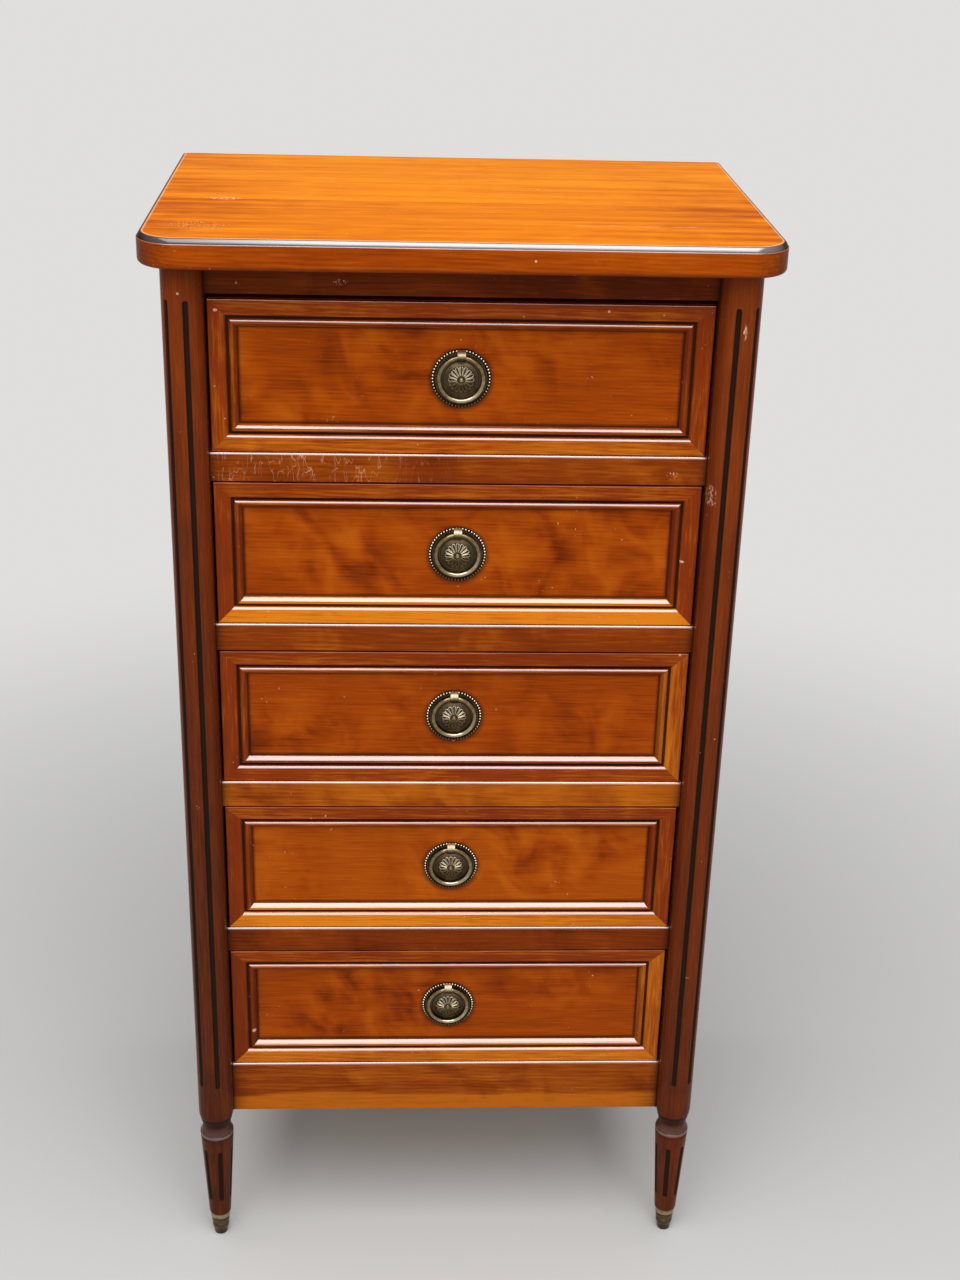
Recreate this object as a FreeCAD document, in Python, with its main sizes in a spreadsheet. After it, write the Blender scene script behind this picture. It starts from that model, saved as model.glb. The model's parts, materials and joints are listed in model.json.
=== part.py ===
import FreeCAD, Part
import os

import Sketcher

# Five-drawer chiffonier: turned front posts, panelled carcase, drawers on wooden runners, hung brass rings.
# Millimetres. X runs to the right, Y to the back and Z up.
# The origin is on the floor below the middle of the top.

DRAWERS = 5
HANDS = ((-1, "left"), (1, "right"))
# Flutes round each leg and on the free side of each column, and the angle between neighbours
LEG_FLUTES = 6
COLUMN_FLUTES = 3
FLUTE_STEP = 60
# Points closer than this count as the same place
TOUCH = 0.01

# Driving dimensions
SIZES = {
    # Carcase
    "opening_width": 440.0,
    "opening_height": 138.0,
    "rail_height": 27.0,
    "rail_depth": 24.0,
    "rail_round": 2.0,
    "apron_height": 59.0,
    "leg_height": 153.0,
    "frieze_height": 30.0,
    "frieze_gap": 3.0,
    "carcase_depth": 338.0,
    "side_thickness": 15.0,
    "stile_depth": 30.0,
    "rear_stile": 38.0,
    "rear_leg_root": 5.0,
    "back_thickness": 5.0,
    "back_rail_height": 45.0,
    "back_rail_depth": 18.0,
    # Joinery
    "tenon_length": 12.0,
    "tenon_thickness": 10.0,
    "tenon_shoulder": 4.0,
    "tongue_length": 8.0,
    "tongue_thickness": 6.0,
    "joint_gap": 0.1,
    # Top board
    "top_thickness": 26.0,
    "top_front_overhang": 20.1,
    "top_side_overhang": 17.5,
    "back_overhang": 7.0,
    "ovolo_height": 4.4,
    "ovolo_radius": 4.0,
    "ovolo_step": 1.2,
    "fascia_round": 4.0,
    # Turned posts
    "column_diameter": 35.3,
    "column_forward": 8.0,
    "shoulder_rise": 3.0,
    "shoulder_height": 7.0,
    "shoulder_diameter": 33.0,
    "fillet_height": 4.0,
    "fillet_diameter": 32.0,
    "cove_height": 16.0,
    "cove_radius": 17.0,
    "cove_foot_diameter": 33.8,
    "collar_height": 5.0,
    "collar_diameter": 34.2,
    "collar_root_diameter": 32.4,
    "quirk_drop": 1.5,
    "leg_top_diameter": 33.6,
    "leg_foot_diameter": 22.4,
    "flute_radius": 2.6,
    "flute_depth": 1.7,
    "flute_turn": 15.0,
    "flute_top_margin": 30.0,
    "flute_foot_margin": 45.0,
    "leg_flute_top_margin": 13.0,
    "leg_flute_foot_margin": 19.5,
    # Brass foot cups
    "sabot_height": 29.0,
    "sabot_floor": 4.0,
    "sabot_collar_height": 7.0,
    "sabot_collar_diameter": 20.4,
    "sabot_waist_diameter": 18.4,
    "sabot_foot_diameter": 13.6,
    "sabot_wall": 1.6,
    # Fittings inside the carcase
    "runner_width": 22.0,
    "stop_length": 30.0,
    "stop_depth": 12.0,
    "stop_height": 5.0,
    "stop_inset": 60.0,
    "screw_diameter": 4.0,
    "screw_head_diameter": 8.0,
    "screw_head_height": 2.6,
    "screw_bite": 14.0,
    "screw_inset": 40.0,
    # Drawers
    "drawer_side_gap": 2.0,
    "drawer_lift": 0.3,
    "drawer_head_gap": 1.7,
    "drawer_setback": 1.0,
    "drawer_back_gap": 7.0,
    "front_thickness": 14.0,
    "moulding_depth": 8.0,
    "border_width": 15.0,
    "border_fall": 1.2,
    "border_arris": 2.4,
    "quirk_width": 2.6,
    "quirk_floor": 2.5,
    "bead_width": 6.8,
    "bead_height": 6.0,
    "bead_nose": 1.4,
    "bead_slope": 3.3,
    "bead_foot": 2.5,
    "drawer_side_thickness": 11.0,
    "drawer_side_drop": 18.0,
    "drawer_back_thickness": 10.0,
    "bottom_thickness": 4.0,
    "bottom_gap": 4.0,
    "groove_depth": 5.0,
    "stop_gap": 0.3,
    # Ring pulls
    "pull_drop": 1.3,
    "ring_outer_diameter": 42.8,
    "ring_wire": 3.8,
    "ring_gap": 0.3,
    "plate_margin": 2.1,
    "plate_rim_width": 2.8,
    "plate_rim_height": 2.2,
    "plate_seat_height": 1.2,
    "boss_margin": 2.0,
    "boss_edge": 1.8,
    "boss_height": 6.4,
    "button_diameter": 5.2,
    "button_height": 7.5,
    "lug_width": 7.9,
    "lug_wall": 1.6,
    "bolt_diameter": 4.0,
    "bolt_gap": 0.25,
    "nut_width": 7.0,
    "nut_height": 3.2,
    "bolt_tail": 1.5,
}

os.makedirs("parts", exist_ok=True)
doc = FreeCAD.newDocument("chiffonier")
sheet = doc.addObject("Spreadsheet::Sheet", "sizes")
for row, (alias, number) in enumerate(SIZES.items(), start=1):
    sheet.set(f"A{row}", alias)
    sheet.set(f"B{row}", str(number))
    sheet.setAlias(f"B{row}", alias)
doc.recompute()

# Places worked out from the driving dimensions, as expressions
HALF_OPENING = "sizes.opening_width / 2"
COLUMN_R = "sizes.column_diameter / 2"
COLUMN_X = f"({HALF_OPENING} + {COLUMN_R})"
SIDE_OUTER = f"({HALF_OPENING} + sizes.side_thickness)"
HALF_TOP = f"({HALF_OPENING} + sizes.column_diameter + sizes.top_side_overhang)"
TOP_FRONT_REACH = f"(sizes.top_front_overhang + {COLUMN_R} + sizes.column_forward)"
TOP_BACK_REACH = "(sizes.carcase_depth + sizes.back_overhang)"
TOP_FRONT = f"(-({TOP_FRONT_REACH} + {TOP_BACK_REACH}) / 2)"
TOP_BACK = f"(({TOP_FRONT_REACH} + {TOP_BACK_REACH}) / 2)"
RAIL_Y = f"({TOP_FRONT} + {TOP_FRONT_REACH})"
COLUMN_Y = f"({RAIL_Y} - sizes.column_forward)"
RAIL_BACK = f"({RAIL_Y} + sizes.rail_depth)"
STILE_BACK = f"({RAIL_Y} + sizes.stile_depth)"
CARCASE_BACK = f"({RAIL_Y} + sizes.carcase_depth)"
REAR_STILE_FRONT = f"({CARCASE_BACK} - sizes.rear_stile)"
BACK_RAIL_BACK = f"({CARCASE_BACK} - sizes.back_thickness)"
BACK_RAIL_FRONT = f"({BACK_RAIL_BACK} - sizes.back_rail_depth)"
LEVEL_STEP = "(sizes.opening_height + sizes.rail_height)"
APRON_TOP = "(sizes.leg_height + sizes.apron_height)"
FRIEZE_Z = f"({APRON_TOP} + {DRAWERS} * {LEVEL_STEP} - sizes.rail_height + sizes.frieze_gap)"
TOP_Z = f"({FRIEZE_Z} + sizes.frieze_height)"
RUNNER_INNER = f"({HALF_OPENING} - sizes.runner_width)"

# Drawer sizes and depths
DRAWER_HALF = f"({HALF_OPENING} - sizes.drawer_side_gap)"
DRAWER_HEIGHT = "(sizes.opening_height - sizes.drawer_lift - sizes.drawer_head_gap)"
MOULDING_WIDTH = "(sizes.border_width + sizes.quirk_width + sizes.bead_width)"
BOARD_FRONT = f"({RAIL_Y} + sizes.drawer_setback + sizes.moulding_depth)"
BOARD_BACK = f"({BOARD_FRONT} + sizes.front_thickness)"
DRAWER_BACK = f"({BACK_RAIL_FRONT} - sizes.drawer_back_gap)"
DRAWER_INNER = f"({DRAWER_HALF} - sizes.drawer_side_thickness)"
PULL_RISE = f"({DRAWER_HEIGHT} / 2 - sizes.pull_drop)"

nodes = []


def value(expression):
    """Number that an expression gives with the present sizes."""
    return float(sheet.evalExpression(str(expression)))


def level_z(number):
    """Height of the floor of a drawer opening; drawer 1 is the highest."""
    return f"({APRON_TOP} + {DRAWERS - number} * {LEVEL_STEP})"


def keep(shape, label):
    """Mark a shape as one of the finished pieces."""
    shape.Label = label
    nodes.append(shape)
    return shape


def place(shape, x, y, z):
    """Bind the place of a shape."""
    for axis, expression in zip("xyz", (x, y, z)):
        shape.setExpression(f"Placement.Base.{axis}", str(expression))
    return shape


def turn(shape, axis, angle):
    """Turn a shape about an axis, before its place is bound."""
    shape.Placement = FreeCAD.Placement(FreeCAD.Vector(), FreeCAD.Rotation(FreeCAD.Vector(*axis), angle))
    return shape


def box(name, xs, ys, zs):
    """Box between a low and a high expression along each axis."""
    block = doc.addObject("Part::Box", name)
    for size, (low, high) in zip(("Length", "Width", "Height"), (xs, ys, zs)):
        block.setExpression(size, f"({high}) - ({low})")
    return place(block, xs[0], ys[0], zs[0])


def cylinder(name, radius, length):
    """Upright cylinder at the origin."""
    rod = doc.addObject("Part::Cylinder", name)
    rod.setExpression("Radius", radius)
    rod.setExpression("Height", length)
    return rod


def fuse(name, shapes):
    """One solid from several shapes."""
    whole = doc.addObject("Part::MultiFuse", name)
    whole.Shapes = shapes
    whole.Refine = True
    return whole


def group(name, shapes):
    """Several separate solids in one shape."""
    together = doc.addObject("Part::Compound", name)
    together.Links = shapes
    return together


def cut(name, base, tools):
    """A shape less the tools."""
    rest = doc.addObject("Part::Cut", name)
    rest.Base = base
    rest.Tool = tools[0] if len(tools) == 1 else group(f"{name}_tools", tools)
    return rest


def mirrored(side, inner, outer):
    """Low and high X of a stretch that lies to the left (-1) or to the right (1) of the middle."""
    if side > 0:
        return (inner, outer)
    return (f"-({outer})", f"-({inner})")


def outline(body, name, plane, points, radii=None):
    """Closed sketch through points given as pairs of expressions.

    radii gives the radius of each stretch that is an arc, by the number of the point that it starts from;
    a positive radius turns left on the way to the next point and a negative one turns right.
    """
    radii = radii or {}
    sketch = body.newObject("Sketcher::SketchObject", name)
    support = next(item for item in body.Origin.OriginFeatures if item.Role == plane)
    sketch.AttachmentSupport = [(support, "")]
    sketch.MapMode = "FlatFace"
    corners = [FreeCAD.Vector(value(x), value(y), 0) for x, y in points]
    starts = []
    ends = []
    for index, corner in enumerate(corners):
        following = corners[(index + 1) % len(corners)]
        if index in radii:
            bend = value(radii[index])
            half = (following - corner) * 0.5
            reach = max(bend * bend - half.Length ** 2, 0.0) ** 0.5
            left = FreeCAD.Vector(-half.y, half.x, 0).normalize()
            centre = corner + half + left * (reach if bend > 0 else -reach)
            bulge = (left * (-1 if bend > 0 else 1)) * abs(bend)
            arc = Part.Arc(corner, centre + bulge, following)
            number = sketch.addGeometry(arc, False)
            forward = bend > 0
            starts.append((number, 1 if forward else 2))
            ends.append((number, 2 if forward else 1))
            limit = sketch.addConstraint(Sketcher.Constraint("Radius", number, abs(bend)))
            sketch.setExpression(f"Constraints[{limit}]", f"abs({radii[index]})")
        else:
            number = sketch.addGeometry(Part.LineSegment(corner, following), False)
            starts.append((number, 1))
            ends.append((number, 2))
    for index, (x, y) in enumerate(points):
        sketch.addConstraint(Sketcher.Constraint("Coincident", *ends[index - 1], *starts[index]))
        ways = (("DistanceX", x, corners[index].x, -2), ("DistanceY", y, corners[index].y, -1))
        for way, expression, number, axis in ways:
            if str(expression) == "0":
                sketch.addConstraint(Sketcher.Constraint("PointOnObject", *starts[index], axis))
            else:
                limit = sketch.addConstraint(Sketcher.Constraint(way, -1, 1, *starts[index], number))
                sketch.setExpression(f"Constraints[{limit}]", str(expression))
    return sketch


def axis_of(body, role):
    """One of a body's own axes."""
    return next(item for item in body.Origin.OriginFeatures if item.Role == role)


def revolved(name, points, radii=None):
    """Body turned about its own Z axis from a half section of radius and height."""
    body = doc.addObject("PartDesign::Body", name)
    section = outline(body, f"{name}_section", "XZ_Plane", points, radii)
    solid = body.newObject("PartDesign::Revolution", f"{name}_turned")
    solid.Profile = section
    solid.ReferenceAxis = (section, ["V_Axis"])
    solid.Angle = 360
    return body


def flutes(body, name, axis_radius, lean, low, high, count, spread, backwards):
    """Round-ended flutes cut into a turned body, the first along its X axis and the rest spread about Z.

    Each cutter is a rod with half-round ends. Its axis stands axis_radius out at height low, and leans.
    """
    radius = "sizes.flute_radius"
    length = f"(({high}) - ({low}))"
    points = [("0", "0"), (radius, radius), (radius, f"{length} - {radius}"), ("0", length)]
    section = outline(body, f"{name}_section", "XZ_Plane", points, {0: radius, 2: radius})
    # A first small angle fixes the axis that the lean turns about
    first_lean = FreeCAD.Rotation(FreeCAD.Vector(0, 0, 1), 1)
    section.AttachmentOffset = FreeCAD.Placement(FreeCAD.Vector(), first_lean)
    section.setExpression("AttachmentOffset.Base.x", axis_radius)
    section.setExpression("AttachmentOffset.Base.y", low)
    section.setExpression("AttachmentOffset.Rotation.Angle", lean)
    before = body.Tip
    groove = body.newObject("PartDesign::Groove", f"{name}_first")
    groove.Profile = section
    groove.ReferenceAxis = (section, ["V_Axis"])
    groove.Angle = 360
    doc.recompute()
    if groove.Shape.Volume >= before.Shape.Volume:
        raise RuntimeError(f"{name} cuts nothing")
    pattern = body.newObject("PartDesign::PolarPattern", f"{name}_pattern")
    pattern.Originals = [groove]
    pattern.Axis = (axis_of(body, "Z_Axis"), [""])
    pattern.Angle = spread
    pattern.Occurrences = count
    pattern.Reversed = backwards
    body.Tip = pattern


# Heights and radii of the turned legs, from the column's rounded foot down
SHOULDER_Z = "(sizes.leg_height + sizes.shoulder_rise)"
SHOULDER_R = "sizes.shoulder_diameter / 2"
FILLET_R = "sizes.fillet_diameter / 2"
COVE_TOP = f"({SHOULDER_Z} - sizes.fillet_height)"
COVE_FOOT_R = "sizes.cove_foot_diameter / 2"
COLLAR_TOP = f"({COVE_TOP} - sizes.cove_height)"
COLLAR_FOOT = f"({COLLAR_TOP} - sizes.collar_height)"
COLLAR_ROOT_R = "sizes.collar_root_diameter / 2"
COLLAR_SWELL = f"(sizes.collar_diameter / 2 - {COLLAR_ROOT_R})"
LEG_TOP = f"({COLLAR_FOOT} - sizes.quirk_drop)"
LEG_TOP_R = "sizes.leg_top_diameter / 2"
LEG_FOOT_R = "sizes.leg_foot_diameter / 2"
LEG_LEAN = f"atan(({LEG_TOP_R} - {LEG_FOOT_R}) / ({LEG_TOP} - sizes.sabot_height))"
SPIGOT_TOP_R = "(sizes.sabot_waist_diameter / 2 - sizes.sabot_wall - sizes.joint_gap)"
SPIGOT_FOOT_R = "(sizes.sabot_foot_diameter / 2 - sizes.sabot_wall - sizes.joint_gap)"
SPIGOT_FOOT = "(sizes.sabot_floor + sizes.joint_gap)"


def arc_radius(width, height):
    """Radius of an arc that spans a width and a height and leaves one of them square."""
    return f"((({width}) ^ 2 + ({height}) ^ 2) / (2 * ({width})))"


def leg_section(above):
    """Half section of a turned leg: spigot, taper, collar and cove, then the points above the cove."""
    points = [
        ("0", SPIGOT_FOOT),
        (SPIGOT_FOOT_R, SPIGOT_FOOT),
        (SPIGOT_TOP_R, "sizes.sabot_height"),
        (LEG_FOOT_R, "sizes.sabot_height"),
        (LEG_TOP_R, LEG_TOP),
        (COLLAR_ROOT_R, COLLAR_FOOT),
        (COLLAR_ROOT_R, COLLAR_TOP),
        (COVE_FOOT_R, COLLAR_TOP),
        (FILLET_R, COVE_TOP),
    ]
    bends = {5: arc_radius(COLLAR_SWELL, "sizes.collar_height / 2"), 7: "-sizes.cove_radius"}
    return points + above, bends


def leg_flutes(body, name):
    """Flutes all round a tapered leg."""
    low = "(sizes.sabot_height + sizes.leg_flute_foot_margin)"
    radius_there = f"({LEG_FOOT_R} + sizes.leg_flute_foot_margin * tan({LEG_LEAN}))"
    stand_off = f"(sizes.flute_radius - sizes.flute_depth) / cos({LEG_LEAN})"
    high = f"({LEG_TOP} - sizes.leg_flute_top_margin)"
    flutes(body, name, f"{radius_there} + {stand_off}", f"-{LEG_LEAN}", low, high,
           LEG_FLUTES, LEG_FLUTES * FLUTE_STEP, False)


def rail_levels():
    """Low and high Z of each front rail, from the apron to the frieze."""
    yield "apron_rail", "sizes.leg_height", APRON_TOP
    for number in range(DRAWERS - 1, 0, -1):
        yield f"divider_rail_{number}", f"{level_z(number)} - sizes.rail_height", level_z(number)
    yield "frieze_rail", FRIEZE_Z, TOP_Z


def tenon(name, low, high, middle_y, grow):
    """Tenon bar from post to post through a rail between two heights, grown by a gap to make its mortise."""
    gap = f"{grow} * sizes.joint_gap"
    reach = f"({HALF_OPENING} + sizes.tenon_length + {gap})"
    thick = f"(sizes.tenon_thickness / 2 + {gap})"
    return box(name, (f"-{reach}", reach), (f"{middle_y} - {thick}", f"{middle_y} + {thick}"),
               (f"{low} + sizes.tenon_shoulder - {gap}", f"{high} - sizes.tenon_shoulder + {gap}"))


FRONT_TENON_Y = f"({RAIL_Y} + sizes.rail_depth / 2)"
BACK_TENON_Y = f"({BACK_RAIL_FRONT} + sizes.back_rail_depth / 2)"
BACK_RAILS = (
    ("lower", "sizes.leg_height", "sizes.leg_height + sizes.back_rail_height"),
    ("upper", f"{TOP_Z} - sizes.back_rail_height", TOP_Z),
)


def panel_tongue(name, side, grow):
    """Tongue along both upright edges of a side panel, grown by a gap to make its grooves."""
    gap = f"{grow} * sizes.joint_gap"
    middle = f"({HALF_OPENING} + sizes.side_thickness / 2)"
    thick = f"(sizes.tongue_thickness / 2 + {gap})"
    reach = f"(sizes.tongue_length + {gap})"
    return box(name, mirrored(side, f"{middle} - {thick}", f"{middle} + {thick}"),
               (f"{STILE_BACK} - {reach}", f"{REAR_STILE_FRONT} + {reach}"), ("sizes.leg_height", TOP_Z))


def front_post(side, hand):
    """Column, stile and leg of one front corner, with flutes and with mortises for the rails."""
    name = f"front_post_{hand}"
    shoulder_top = f"({SHOULDER_Z} + sizes.shoulder_height)"
    column = [(FILLET_R, SHOULDER_Z), (SHOULDER_R, SHOULDER_Z), (COLUMN_R, shoulder_top), (COLUMN_R, TOP_Z),
              ("0", TOP_Z)]
    points, bends = leg_section(column)
    bends[points.index(column[1])] = arc_radius(f"{COLUMN_R} - {SHOULDER_R}", "sizes.shoulder_height")
    body = revolved(f"{name}_turning", points, bends)
    doc.recompute()
    low = "(sizes.leg_height + sizes.flute_foot_margin)"
    high = f"({TOP_Z} - sizes.flute_top_margin)"
    stand_off = f"({COLUMN_R} + sizes.flute_radius - sizes.flute_depth)"
    flutes(body, f"{name}_flutes", stand_off, "0", low, high,
           COLUMN_FLUTES, (COLUMN_FLUTES - 1) * FLUTE_STEP, side > 0)
    leg_flutes(body, f"{name}_leg_flutes")
    first_flute = "sizes.flute_turn" if side > 0 else "180 - sizes.flute_turn"
    turn(body, (0, 0, 1), value(first_flute))
    body.setExpression("Placement.Rotation.Angle", first_flute)
    place(body, f"{side} * {COLUMN_X}", COLUMN_Y, "0")
    stile = box(f"{name}_stile", mirrored(side, HALF_OPENING, SIDE_OUTER), (RAIL_Y, STILE_BACK),
                ("sizes.leg_height", TOP_Z))
    mortises = [tenon(f"{name}_{rail}_mortise", low_z, high_z, FRONT_TENON_Y, 1)
                for rail, low_z, high_z in rail_levels()]
    mortises.append(panel_tongue(f"{name}_groove", side, 1))
    keep(cut(f"{name}_cut", fuse(f"{name}_blank", [body, stile]), mortises), name)


def rear_post(side, hand):
    """Square stile and turned leg of one back corner."""
    name = f"rear_post_{hand}"
    half = "sizes.rear_stile / 2"
    root = "(sizes.leg_height + sizes.rear_leg_root)"
    body = revolved(f"{name}_turning", *leg_section([(FILLET_R, root), ("0", root)]))
    doc.recompute()
    place(body, f"{side} * ({HALF_OPENING} + {half})", f"{CARCASE_BACK} - {half}", "0")
    stile = box(f"{name}_stile", mirrored(side, HALF_OPENING, f"{HALF_OPENING} + sizes.rear_stile"),
                (REAR_STILE_FRONT, CARCASE_BACK), ("sizes.leg_height", TOP_Z))
    mortises = [tenon(f"{name}_{rail}_mortise", low_z, high_z, BACK_TENON_Y, 1)
                for rail, low_z, high_z in BACK_RAILS]
    mortises.append(panel_tongue(f"{name}_groove", side, 1))
    keep(cut(f"{name}_cut", fuse(f"{name}_blank", [body, stile]), mortises), name)


def side_panel(side, hand):
    """Board between the front and rear posts, with a tongue along each upright edge."""
    name = f"side_panel_{hand}"
    board = box(f"{name}_board", mirrored(side, HALF_OPENING, SIDE_OUTER), (STILE_BACK, REAR_STILE_FRONT),
                ("sizes.leg_height", TOP_Z))
    keep(fuse(f"{name}_whole", [board, panel_tongue(f"{name}_tongue", side, 0)]), name)


def rounded_edges(name, shape, radius, pick):
    """Fillet on the edges of a shape whose middle the pick function chooses."""
    doc.recompute()
    chosen = []
    for number, edge in enumerate(shape.Shape.Edges, start=1):
        if pick(edge.valueAt((edge.FirstParameter + edge.LastParameter) / 2)):
            chosen.append(number)
    rounding = doc.addObject("Part::Fillet", name)
    rounding.Base = shape
    rounding.Edges = [(number, value(radius), value(radius)) for number in chosen]
    return rounding


def front_rails():
    """Apron, dividers and frieze, tenoned into the front posts."""
    for name, low, high in rail_levels():
        bar = box(f"{name}_bar", (f"-{HALF_OPENING}", HALF_OPENING), (RAIL_Y, RAIL_BACK), (low, high))
        if name.startswith("divider"):
            front_arris = FreeCAD.Vector(0, value(RAIL_Y), value(high))
            bar = rounded_edges(f"{name}_round", bar, "sizes.rail_round",
                                lambda middle: middle.distanceToPoint(front_arris) < TOUCH)
        keep(fuse(f"{name}_whole", [bar, tenon(f"{name}_tenon", low, high, FRONT_TENON_Y, 0)]), name)


def back_frame():
    """Rails between the rear posts and the thin back panel behind them."""
    rails = []
    for name, low, high in BACK_RAILS:
        bar = box(f"back_rail_{name}_bar", (f"-{HALF_OPENING}", HALF_OPENING),
                  (BACK_RAIL_FRONT, BACK_RAIL_BACK), (low, high))
        tongue = tenon(f"back_rail_{name}_tenon", low, high, BACK_TENON_Y, 0)
        rails.append(fuse(f"back_rail_{name}", [bar, tongue]))
    keep(group("back_rail_pair", rails), "back_rails")
    keep(box("back_board", (f"-{HALF_OPENING}", HALF_OPENING), (BACK_RAIL_BACK, CARCASE_BACK),
             ("sizes.leg_height", TOP_Z)), "back_panel")


def runners_and_stops():
    """Runners beside each opening's floor and stop blocks on each front rail."""
    runners = []
    stops = []
    stop_front = f"({BOARD_BACK} + sizes.stop_gap)"
    for number in range(1, DRAWERS + 1):
        floor = level_z(number)
        for side, hand in HANDS:
            runners.append(box(f"runner_{number}_{hand}", mirrored(side, RUNNER_INNER, HALF_OPENING),
                               (RAIL_BACK, BACK_RAIL_FRONT), (f"{floor} - sizes.rail_height", floor)))
            stop_inner = f"({HALF_OPENING} - sizes.stop_inset - sizes.stop_length)"
            stops.append(box(f"stop_{number}_{hand}",
                             mirrored(side, stop_inner, f"{stop_inner} + sizes.stop_length"),
                             (stop_front, f"{stop_front} + sizes.stop_depth"),
                             (floor, f"{floor} + sizes.stop_height")))
    keep(group("runners", runners), "drawer_runners")
    keep(group("stops", stops), "drawer_stops")


def screw_places():
    """X and Y of each screw that holds the top, as expressions."""
    middle = f"({RAIL_BACK} + {BACK_RAIL_FRONT}) / 2"
    for side, hand in HANDS:
        x = f"{side} * ({HALF_OPENING} - sizes.runner_width / 2)"
        yield f"front_{hand}", x, f"{RAIL_BACK} + sizes.screw_inset"
        yield f"middle_{hand}", x, middle
        yield f"back_{hand}", x, f"{BACK_RAIL_FRONT} - sizes.screw_inset"


def upright_rod(name, radius, x, y, low, high):
    """Upright rod at a place between two heights."""
    return place(cylinder(name, radius, f"({high}) - ({low})"), x, y, low)


def top_cleats_and_screws():
    """Strips under the top that stop the top drawer from tipping, and the screws up through them."""
    shank = "sizes.screw_diameter / 2"
    head = "sizes.screw_head_diameter / 2"
    head_top = f"{FRIEZE_Z} + sizes.screw_head_height"
    tip = f"{TOP_Z} + sizes.screw_bite"
    strips = [box(f"cleat_{hand}", mirrored(side, RUNNER_INNER, HALF_OPENING), (RAIL_BACK, BACK_RAIL_FRONT),
                  (FRIEZE_Z, TOP_Z)) for side, hand in HANDS]
    bores = []
    screws = []
    pilots = []
    for name, x, y in screw_places():
        screw_head = upright_rod(f"screw_{name}_head", head, x, y, FRIEZE_Z, head_top)
        screw_shank = upright_rod(f"screw_{name}_shank", shank, x, y, FRIEZE_Z, tip)
        screws.append(fuse(f"screw_{name}", [screw_head, screw_shank]))
        bores.append(upright_rod(f"bore_{name}_head", f"{head} + sizes.joint_gap", x, y, FRIEZE_Z,
                                 f"{head_top} + sizes.joint_gap"))
        bores.append(upright_rod(f"bore_{name}_shank", f"{shank} + sizes.joint_gap", x, y,
                                 f"{head_top} + sizes.joint_gap", TOP_Z))
        pilots.append(upright_rod(f"pilot_{name}", f"{shank} + sizes.joint_gap", x, y, TOP_Z,
                                  f"{tip} + sizes.joint_gap"))
    keep(cut("cleats_bored", group("cleats", strips), bores), "top_cleats")
    keep(group("screws", screws), "top_screws")
    return pilots


def top_outline(body, name, inset):
    """Plan of the top, drawn in from the sides and front, with round front corners."""
    half = f"({HALF_TOP} - {inset})"
    width = f"(2 * {half})"
    depth = f"({TOP_BACK} - {TOP_FRONT} - {inset})"
    corner = f"(sizes.top_side_overhang + {COLUMN_R} - {inset})"
    points = [("0", "0"), (width, "0"), (width, f"{depth} - {corner}"), (f"{width} - {corner}", depth),
              (corner, depth), ("0", f"{depth} - {corner}")]
    return outline(body, name, "XY_Plane", points, {2: corner, 4: corner})


def slab(name, inset, low, high):
    """Board of the top's plan between two heights; the plan runs forward from the back edge."""
    body = doc.addObject("PartDesign::Body", name)
    pad = body.newObject("PartDesign::Pad", f"{name}_pad")
    pad.Profile = top_outline(body, f"{name}_plan", inset)
    pad.setExpression("Length", f"({high}) - ({low})")
    turn(body, (0, 0, 1), 180)
    place(body, f"{HALF_TOP} - {inset}", TOP_BACK, low)
    body.Tip = pad
    return body


def top_board(pilots):
    """Fascia board and ovolo edge of the top as one solid, with pilot holes for the screws."""
    fascia_top = f"{TOP_Z} + sizes.top_thickness - sizes.ovolo_height"
    fascia = slab("top_fascia", "0", TOP_Z, fascia_top)
    ovolo = slab("top_ovolo", "sizes.ovolo_step", fascia_top, f"{TOP_Z} + sizes.top_thickness")
    back = value(TOP_BACK)
    underside = value(TOP_Z)
    surface = value(f"{TOP_Z} + sizes.top_thickness")
    soft_fascia = rounded_edges(
        "top_fascia_round", fascia, "sizes.fascia_round",
        lambda middle: abs(middle.z - underside) < TOUCH and middle.y < back - TOUCH)
    soft_ovolo = rounded_edges(
        "top_ovolo_round", ovolo, "sizes.ovolo_radius",
        lambda middle: abs(middle.z - surface) < TOUCH and middle.y < back - TOUCH)
    keep(cut("top_bored", fuse("top_whole", [soft_fascia, soft_ovolo]), pilots), "top_board")


def sabots():
    """Four stepped brass cups, each holding the spigot of a leg."""
    waist = "sizes.sabot_waist_diameter / 2"
    collar = "sizes.sabot_collar_diameter / 2"
    foot = "sizes.sabot_foot_diameter / 2"
    collar_foot = "(sizes.sabot_height - sizes.sabot_collar_height)"
    inner_top = f"({SPIGOT_TOP_R} + sizes.joint_gap)"
    inner_foot = f"({SPIGOT_FOOT_R} + sizes.joint_gap)"
    points = [("0", "0"), (foot, "0"), (waist, f"{collar_foot} / 2"), (waist, collar_foot),
              (collar, collar_foot), (collar, "sizes.sabot_height"), (inner_top, "sizes.sabot_height"),
              (inner_foot, "sizes.sabot_floor"), ("0", "sizes.sabot_floor")]
    cups = []
    half = "sizes.rear_stile / 2"
    for side, hand in HANDS:
        front = revolved(f"sabot_front_{hand}", points)
        cups.append(place(front, f"{side} * {COLUMN_X}", COLUMN_Y, "0"))
        rear = revolved(f"sabot_rear_{hand}", points)
        cups.append(place(rear, f"{side} * ({HALF_OPENING} + {half})", f"{CARCASE_BACK} - {half}", "0"))
    keep(group("sabot_set", cups), "sabots")


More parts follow.
